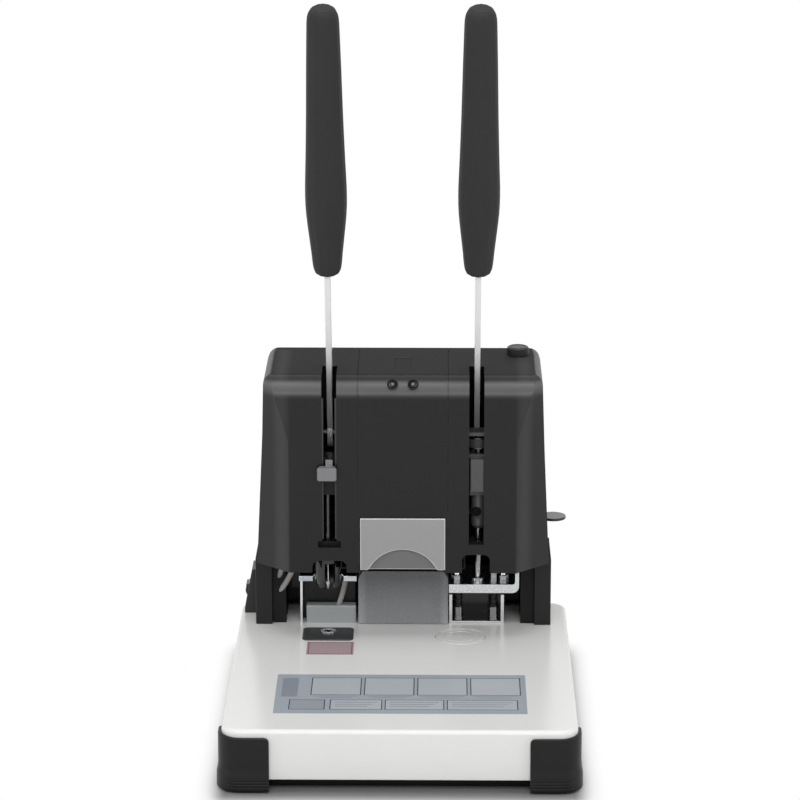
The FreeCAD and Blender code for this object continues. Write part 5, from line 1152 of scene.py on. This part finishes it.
# The grips are moulded in soft grey rubber over the bars. Each swells towards the hand, has twelve
# soft flats round it, and ends in a flat cap with a rolled edge.
grip_rubber = coated(
    "grip_rubber", (0.036, 0.036, 0.037), 0.65, 0.35 * mm, 0.2, contrast=0.16, shine=0.12
)
lever_lean = math.radians(20)
lever_joint = next(joint for joint in frame["joints"] if joint["name"] == "left_lever_swing")
grip_start = 174 * mm
grip_profile = [
    (0.0, 0.0), (10.2, 0.0), (10.9, 0.3), (11.6, 1.2), (12.3, 3.6), (12.9, 8.0), (13.35, 13.0),
    (13.8, 19.0), (14.6, 27.0), (15.7, 38.0), (16.8, 49.0), (17.7, 60.0), (18.1, 69.0),
    (18.2, 78.0), (18.1, 87.0), (17.7, 99.0), (17.1, 116.0), (16.5, 136.0), (15.9, 158.0),
    (15.4, 182.0), (14.9, 206.0), (14.4, 226.0), (14.05, 240.0), (13.85, 247.0), (13.5, 251.5),
    (12.8, 255.0), (11.7, 257.6), (10.3, 259.4), (9.0, 260.3), (8.3, 260.5), (7.9, 261.0),
    (0.0, 261.0),
]
flat_depth = 0.35 * mm
grip_points = [(radius, grip_start + height) for radius, height in in_mm(grip_profile)]
for side in ("left", "right"):
    node = f"{side}_grip"
    grip_mesh = turned(node + "_skin", grip_points, sides=96, flutes=12, flute_depth=flat_depth)
    pivot = Matrix.Translation((centre_of(node)[0], *lever_joint["pos_m"][1:]))
    grip_mesh.transform(pivot @ Matrix.Rotation(lever_lean, 4, "X"))
    seat_piece(grip_mesh, [grip_rubber], node)

# Left-hand tool: a steel block slides in the cover's slot, which is lined with two pressed strips.
# It pushes down the heater head, an enamelled barrel with a window in front, and the ground steel
# needle inside it that melts the end of the tube.
dark_steel = worked_metal("blued_steel", (0.10, 0.10, 0.105), 0.3, (300.0, 300.0, 300.0))
slider_paint = coated(
    "slider_paint", (0.20, 0.20, 0.205), 0.4, worn=(0.45, 0.45, 0.45)
)
slider_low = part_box("ram_block")[0]
slider_top, slider_bottom, neck_foot = 219 * mm, 202 * mm, 200 * mm
holder_face = 73 * mm
top_cut, foot_cut, neck_cut = 1.8 * mm, 1.6 * mm, 4.2 * mm


def runs_back(edge):
    """Whether an edge runs straight from front to back."""
    a, b = (vert.co for vert in edge.verts)
    return abs(a.x - b.x) < 0.1 * mm and abs(a.z - b.z) < 0.1 * mm


def ends_before(edge, depth, judge=min):
    """Whether the nearer end of an edge, or the further with max, is in front of a depth."""
    return judge(vert.co.y for vert in edge.verts) < depth


def round_off(shape, edges, offset, segments):
    """Rounds some edges of a shape."""
    bmesh.ops.bevel(
        shape, geom=edges, offset=offset, segments=segments, profile=0.5, affect="EDGES"
    )


def trim_slider(shape):
    """Rounds the corners of the block's front plate and draws in its top and foot."""
    plate = [vert for vert in shape.verts if vert.co.y < slider_low[1] + 4.2 * mm]
    for vert in plate:
        if abs(vert.co.z - slider_top) < 0.2 * mm:
            vert.co.z -= top_cut
        elif abs(vert.co.z - slider_bottom) < 0.2 * mm:
            vert.co.z += foot_cut
    for vert in shape.verts:
        if abs(vert.co.z - neck_foot) < 0.2 * mm and vert.co.y < holder_face + 0.1 * mm:
            vert.co.z += neck_cut
    front = slider_low[1] + 0.1 * mm
    corners = [edge for edge in shape.edges if runs_back(edge) and ends_before(edge, front)]
    round_off(shape, corners, 2.4 * mm, 4)
    rim = [edge for edge in shape.edges if ends_before(edge, front, max)]
    round_off(shape, rim, 0.9 * mm, 2)


slider_back, slider_foot = slider_low[1] + 5 * mm, 201 * mm


def on_slider(centre, _):
    return centre.y < slider_back and centre.z > slider_foot


def on_holder(centre, normal):
    return abs(centre.y - holder_face) < 0.5 * mm and normal.y < -0.9


# painted shade: the holder's front face under the sliding block is coloured near-black
holder_painted_shade = coated("holder_painted_shade", (0.006, 0.006, 0.006), 0.4, shine=0.25)
dress(
    "ram_block",
    dark_steel,
    0.3 * mm,
    [(slider_paint, on_slider), (holder_painted_shade, on_holder)],
    prepare=trim_slider,
)
liner_paint = coated("liner_paint", (0.03, 0.03, 0.031), 0.35)
dress("left_slot_liner", liner_paint, 0.2 * mm)
heater_coat = coated(
    "heater_enamel", (0.008, 0.008, 0.008), 0.16, 0.8 * mm, 0.03, shine=0.6, spread=0.06
)
heater_x, heater_y, _ = centre_of("upper_heater")
barrel_wall = [(8.6, 101.0), (9.2, 100.4), (9.8, 100.5), (10.9, 101.8), (11.7, 104.6)]
barrel_wall += [(12.2, 110.0), (12.1, 118.0), (11.7, 124.5), (9.6, 124.5)]
barrel_head = [(0.0, 124.0), (11.7, 124.0), (11.5, 128.0), (10.8, 130.5), (9.4, 131.8)]
barrel_head += [(0.0, 132.0)]
window_left, window_right = math.radians(-13), math.radians(34)
barrel = bmesh.new()
sections = []
barrel_steps = 48
for step in range(barrel_steps + 1):
    turn = window_right + (2 * math.pi - window_right + window_left) * step / barrel_steps
    section = []
    for radius, height in in_mm(barrel_wall):
        x = heater_x + radius * math.sin(turn)
        y = heater_y - radius * math.cos(turn)
        section.append(barrel.verts.new((x, y, height)))
    sections.append(section)
skin_rings(barrel, sections)
barrel.from_mesh(turned("barrel_head", in_mm(barrel_head), (heater_x, heater_y, 0.0)))
seat_piece(as_mesh(barrel, "upper_heater_skin"), [heater_coat], "upper_heater")
ground_steel = worked_metal(
    "ground_steel", (0.52, 0.52, 0.53), 0.22, (1200.0, 1200.0, 200.0), 0.08
)
needle_profile = [(0.0, 96.3), (0.3, 96.8), (1.0, 99.4), (1.7, 102.2), (2.05, 104.7), (2.0, 107.0)]
needle_profile += [(1.6, 112.0), (1.1, 117.0), (0.85, 121.0), (0.85, 126.0), (0.0, 126.0)]
needle_axis = (heater_x, heater_y, 0.0)
needle_mesh = turned("rivet_needle_skin", in_mm(needle_profile), needle_axis, 40)
seat_piece(needle_mesh, [ground_steel], "rivet_needle")

# A chromed fork strips the paper off the needle. It stands on a leg that is screwed to the silver
# housing of the lower heater, and three short silicone leads run up from it.
chrome = worked_metal("chrome_plate", (0.82, 0.83, 0.84), 0.1, (700.0, 700.0, 700.0), 0.06, 0.04)
cast_silver = coated("silver_paint", (0.34, 0.36, 0.37), 0.3, 0.4 * mm, 0.12, contrast=0.15)
painted_shade_black = coated("painted_shade_black", (0.012, 0.012, 0.013), 0.3, 0.5 * mm, 0.08, shine=0.35)
lead_silicone = coated("lead_silicone", (0.36, 0.35, 0.34), 0.5, 0.6 * mm)
fork_wall = 112 * mm
fork_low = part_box("stripper_fork")[0]
fork_plate = 100 * mm
fork_gap = 11.8 * mm
gap_wider = 1.17
face_lift, back_lift = 3.5 * mm, 5.5 * mm
fork_middle = Vector((heater_x, fork_low[1]))


def lift_fork(shape):
    """Raises and deepens the plate of the fork and opens its gap for the barrel."""
    for vert in shape.verts:
        if vert.co.z > fork_plate - 0.1 * mm:
            reach = vert.co.xy - fork_middle
            if abs(reach.length - fork_gap) < 0.2 * mm:
                vert.co.xy = fork_middle + reach * gap_wider
            vert.co.z += face_lift if vert.co.z < fork_plate + 0.1 * mm else back_lift


# painted shade: the fork's back wall behind the needle is coloured near-black
dress(
    "stripper_fork",
    chrome,
    0.3 * mm,
    [(painted_shade_black, lambda centre, _: centre.y > fork_wall and centre.z < 99 * mm)],
    prepare=lift_fork,
)
dress("lower_heater_housing", cast_silver, 0.5 * mm)
dress("heater_cables", lead_silicone, 0.0)

# Right-hand tool: a painted carriage slides in the other slot and carries the motor, the spindle
# and the chuck. A socket screw holds the hollow bit in the chuck.
carriage_paint = coated("carriage_paint", (0.06, 0.06, 0.062), 0.4, 0.5 * mm, 0.12, contrast=0.2)
dress("drill_carriage", carriage_paint, 0.4 * mm)
chuck_steel = coated("blackened_chuck", (0.07, 0.07, 0.072), 0.35, 0.4 * mm, contrast=0.3)
dress("drill_spindle", dark_steel, 0.3 * mm)
dress("drill_chuck", chuck_steel, 0.4 * mm)
bit_steel = worked_metal("bit_steel", (0.34, 0.34, 0.35), 0.25, (1200.0, 1200.0, 200.0), 0.1)
dress("hollow_bit", bit_steel, 0.0)
screw_profile = [(0.0, -3.0), (4.3, -3.0), (4.3, 0.0), (4.0, 0.3), (2.4, 0.3), (2.2, 0.1)]
screw_profile += [(0.0, 0.1)]
chuck_screw = turned("chuck_screw", in_mm(screw_profile), sides=48)
chuck_screw_height = 172.2 * mm
chuck_x = centre_of("drill_chuck")[0] - 1.5 * mm
chuck_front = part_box("drill_chuck")[0][1] - 0.2 * mm
square_to_chuck = Matrix.Rotation(math.pi / 2, 4, "X")
chuck_screw.transform(
    Matrix.Translation((chuck_x, chuck_front, chuck_screw_height)) @ square_to_chuck
)
socket_black = coated("socket_black", (0.002, 0.002, 0.002), 0.5, 0.4 * mm, 0.05, shine=0.1)
chuck_screw.materials.append(socket_black)
add_piece("chuck_screw", chuck_screw, "drill_chuck")
motor_can = worked_metal("motor_can", (0.45, 0.45, 0.46), 0.3, (300.0, 300.0, 2500.0))
dress("drill_motor", motor_can, 0.4 * mm)
dress("motor_pulley", brass, 0.15 * mm)
belt_rubber = coated("belt_rubber", (0.02, 0.02, 0.02), 0.6, 0.4 * mm, 0.3)
dress("drive_belt", belt_rubber, 0.0)

# The press plate holds the paper under the drill. It is folded from chromed sheet, screwed to two
# posts that slide in a bracket, and held up by two dark coil springs.
rolled = (900.0, 60.0, 900.0)
satin_chrome = worked_metal("satin_chrome", (0.72, 0.73, 0.74), 0.2, rolled, 0.1, 0.06)
rubbed_chrome = worked_metal("rubbed_chrome", (0.66, 0.67, 0.68), 0.25, rolled, 0.12, 0.03, 0.35)
plate_low, plate_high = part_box("press_plate")
ear_wide = 6 * mm
ear_thin = 3.5 * mm
bend = 6 * mm


def roll_ear(shape):
    """Thins the ear at the right-hand end and rolls the flange up into it."""
    ear_back = plate_low[1] + 3.2 * mm
    ear_foot = plate_low[2] + 7.8 * mm
    for vert in shape.verts:
        on_side = abs(vert.co.x - (plate_high[0] - ear_wide)) < 0.2 * mm
        if on_side and vert.co.z > ear_foot and vert.co.y < ear_back:
            vert.co.x = plate_high[0] - ear_thin
    for x, low, high, radius in (
        (plate_high[0], plate_low[2] - 0.1 * mm, plate_low[2] + 0.1 * mm, bend),
        (plate_high[0] - ear_thin, ear_foot, ear_foot + 0.4 * mm, bend - ear_thin),
    ):
        corner = []
        for edge in shape.edges:
            place = edge.verts[0].co
            if runs_back(edge) and abs(place.x - x) < 0.1 * mm and low < place.z < high:
                if ends_before(edge, ear_back, max):
                    corner.append(edge)
        round_off(shape, corner, radius, 6)


plate_face = plate_low[2] + 8.2 * mm
post_steel = worked_metal("post_steel", (0.30, 0.30, 0.31), 0.25, (700.0, 700.0, 700.0), 0.1, 0.05)


def on_block(centre, _):
    return centre.z > plate_face and centre.x < plate_high[0] - ear_wide - 1 * mm


def on_flange(centre, normal):
    return normal.y < -0.5 and centre.y < plate_low[1] + 4 * mm


dress(
    "press_plate",
    satin_chrome,
    0.3 * mm,
    [(post_steel, on_block), (rubbed_chrome, on_flange)],
    prepare=roll_ear,
)
nut_face = plate_face + 4 * mm
dress(
    "press_plate_nuts",
    chrome,
    0.3 * mm,
    [(post_steel, lambda centre, normal: centre.z < nut_face and abs(normal.z) < 0.5)],
)
bracket_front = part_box("press_guide_bracket")[0][1] + 1 * mm
bracket_black = coated(
    "bracket_plating", (0.008, 0.009, 0.011), 0.12, 0.8 * mm, 0.03, shine=0.7, spread=0.05
)
dress(
    "press_guide_bracket",
    bracket_black,
    0.3 * mm,
    [(satin_chrome, lambda centre, _: centre.y < bracket_front)],
)
collar_top = 70 * mm
# painted shade: the posts above their collars, seen between the coils, are coloured near-black
post_painted_shade = (painted_shade_black, lambda centre, _: centre.z > collar_top)
dress("guide_posts", post_steel, 0.3 * mm, [post_painted_shade])

round_wire, start, end = new_growth(
    "coil_springs", Float=["Turns", "Coil Radius", "Free Length", "Wire Radius"]
)
helix = place_node(
    round_wire,
    "GeometryNodeCurveSpiral",
    {
        "Resolution": 28,
        "Rotations": start["Turns"],
        "Start Radius": start["Coil Radius"],
        "End Radius": start["Coil Radius"],
        "Height": start["Free Length"],
    },
)
section = place_node(
    round_wire,
    "GeometryNodeCurvePrimitiveCircle",
    {"Resolution": 10, "Radius": start["Wire Radius"]},
)
wire = place_node(
    round_wire,
    "GeometryNodeCurveToMesh",
    {
        "Fill Caps": True,
        "Curve": helix.outputs["Curve"],
        "Profile Curve": section.outputs["Curve"],
    },
)
copies = copied_to(round_wire, start["Geometry"], wire.outputs["Mesh"])
round_wire.links.new(finished(round_wire, copies, start["Finish"]), end["Geometry"])

spring_low, spring_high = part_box("post_springs")
spring_length = spring_high[2] - spring_low[2]
wire_radius = 0.6 * mm
spring_outer = (spring_high[1] - spring_low[1]) / 2
spring_y = (spring_low[1] + spring_high[1]) / 2
spring_seeds = [
    (x, spring_y, spring_low[2] + wire_radius)
    for x in (spring_low[0] + spring_outer, spring_high[0] - spring_outer)
]
blued_wire = coated("blued_wire", (0.02, 0.02, 0.022), 0.28, 0.4 * mm)
spring_values = {
    "Turns": 7.0,
    "Coil Radius": spring_outer - wire_radius,
    "Free Length": spring_length - 2 * wire_radius,
    "Wire Radius": wire_radius,
    "Finish": blued_wire,
}
spring_points = seed_points("spring_seeds", spring_seeds)
post_coils = grown("post_coils", round_wire, spring_points, spring_values)
post_mesh = joined("post_springs_skin", [post_coils])
post_springs = seat_piece(post_mesh, [blued_wire], "post_springs")
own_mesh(post_springs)
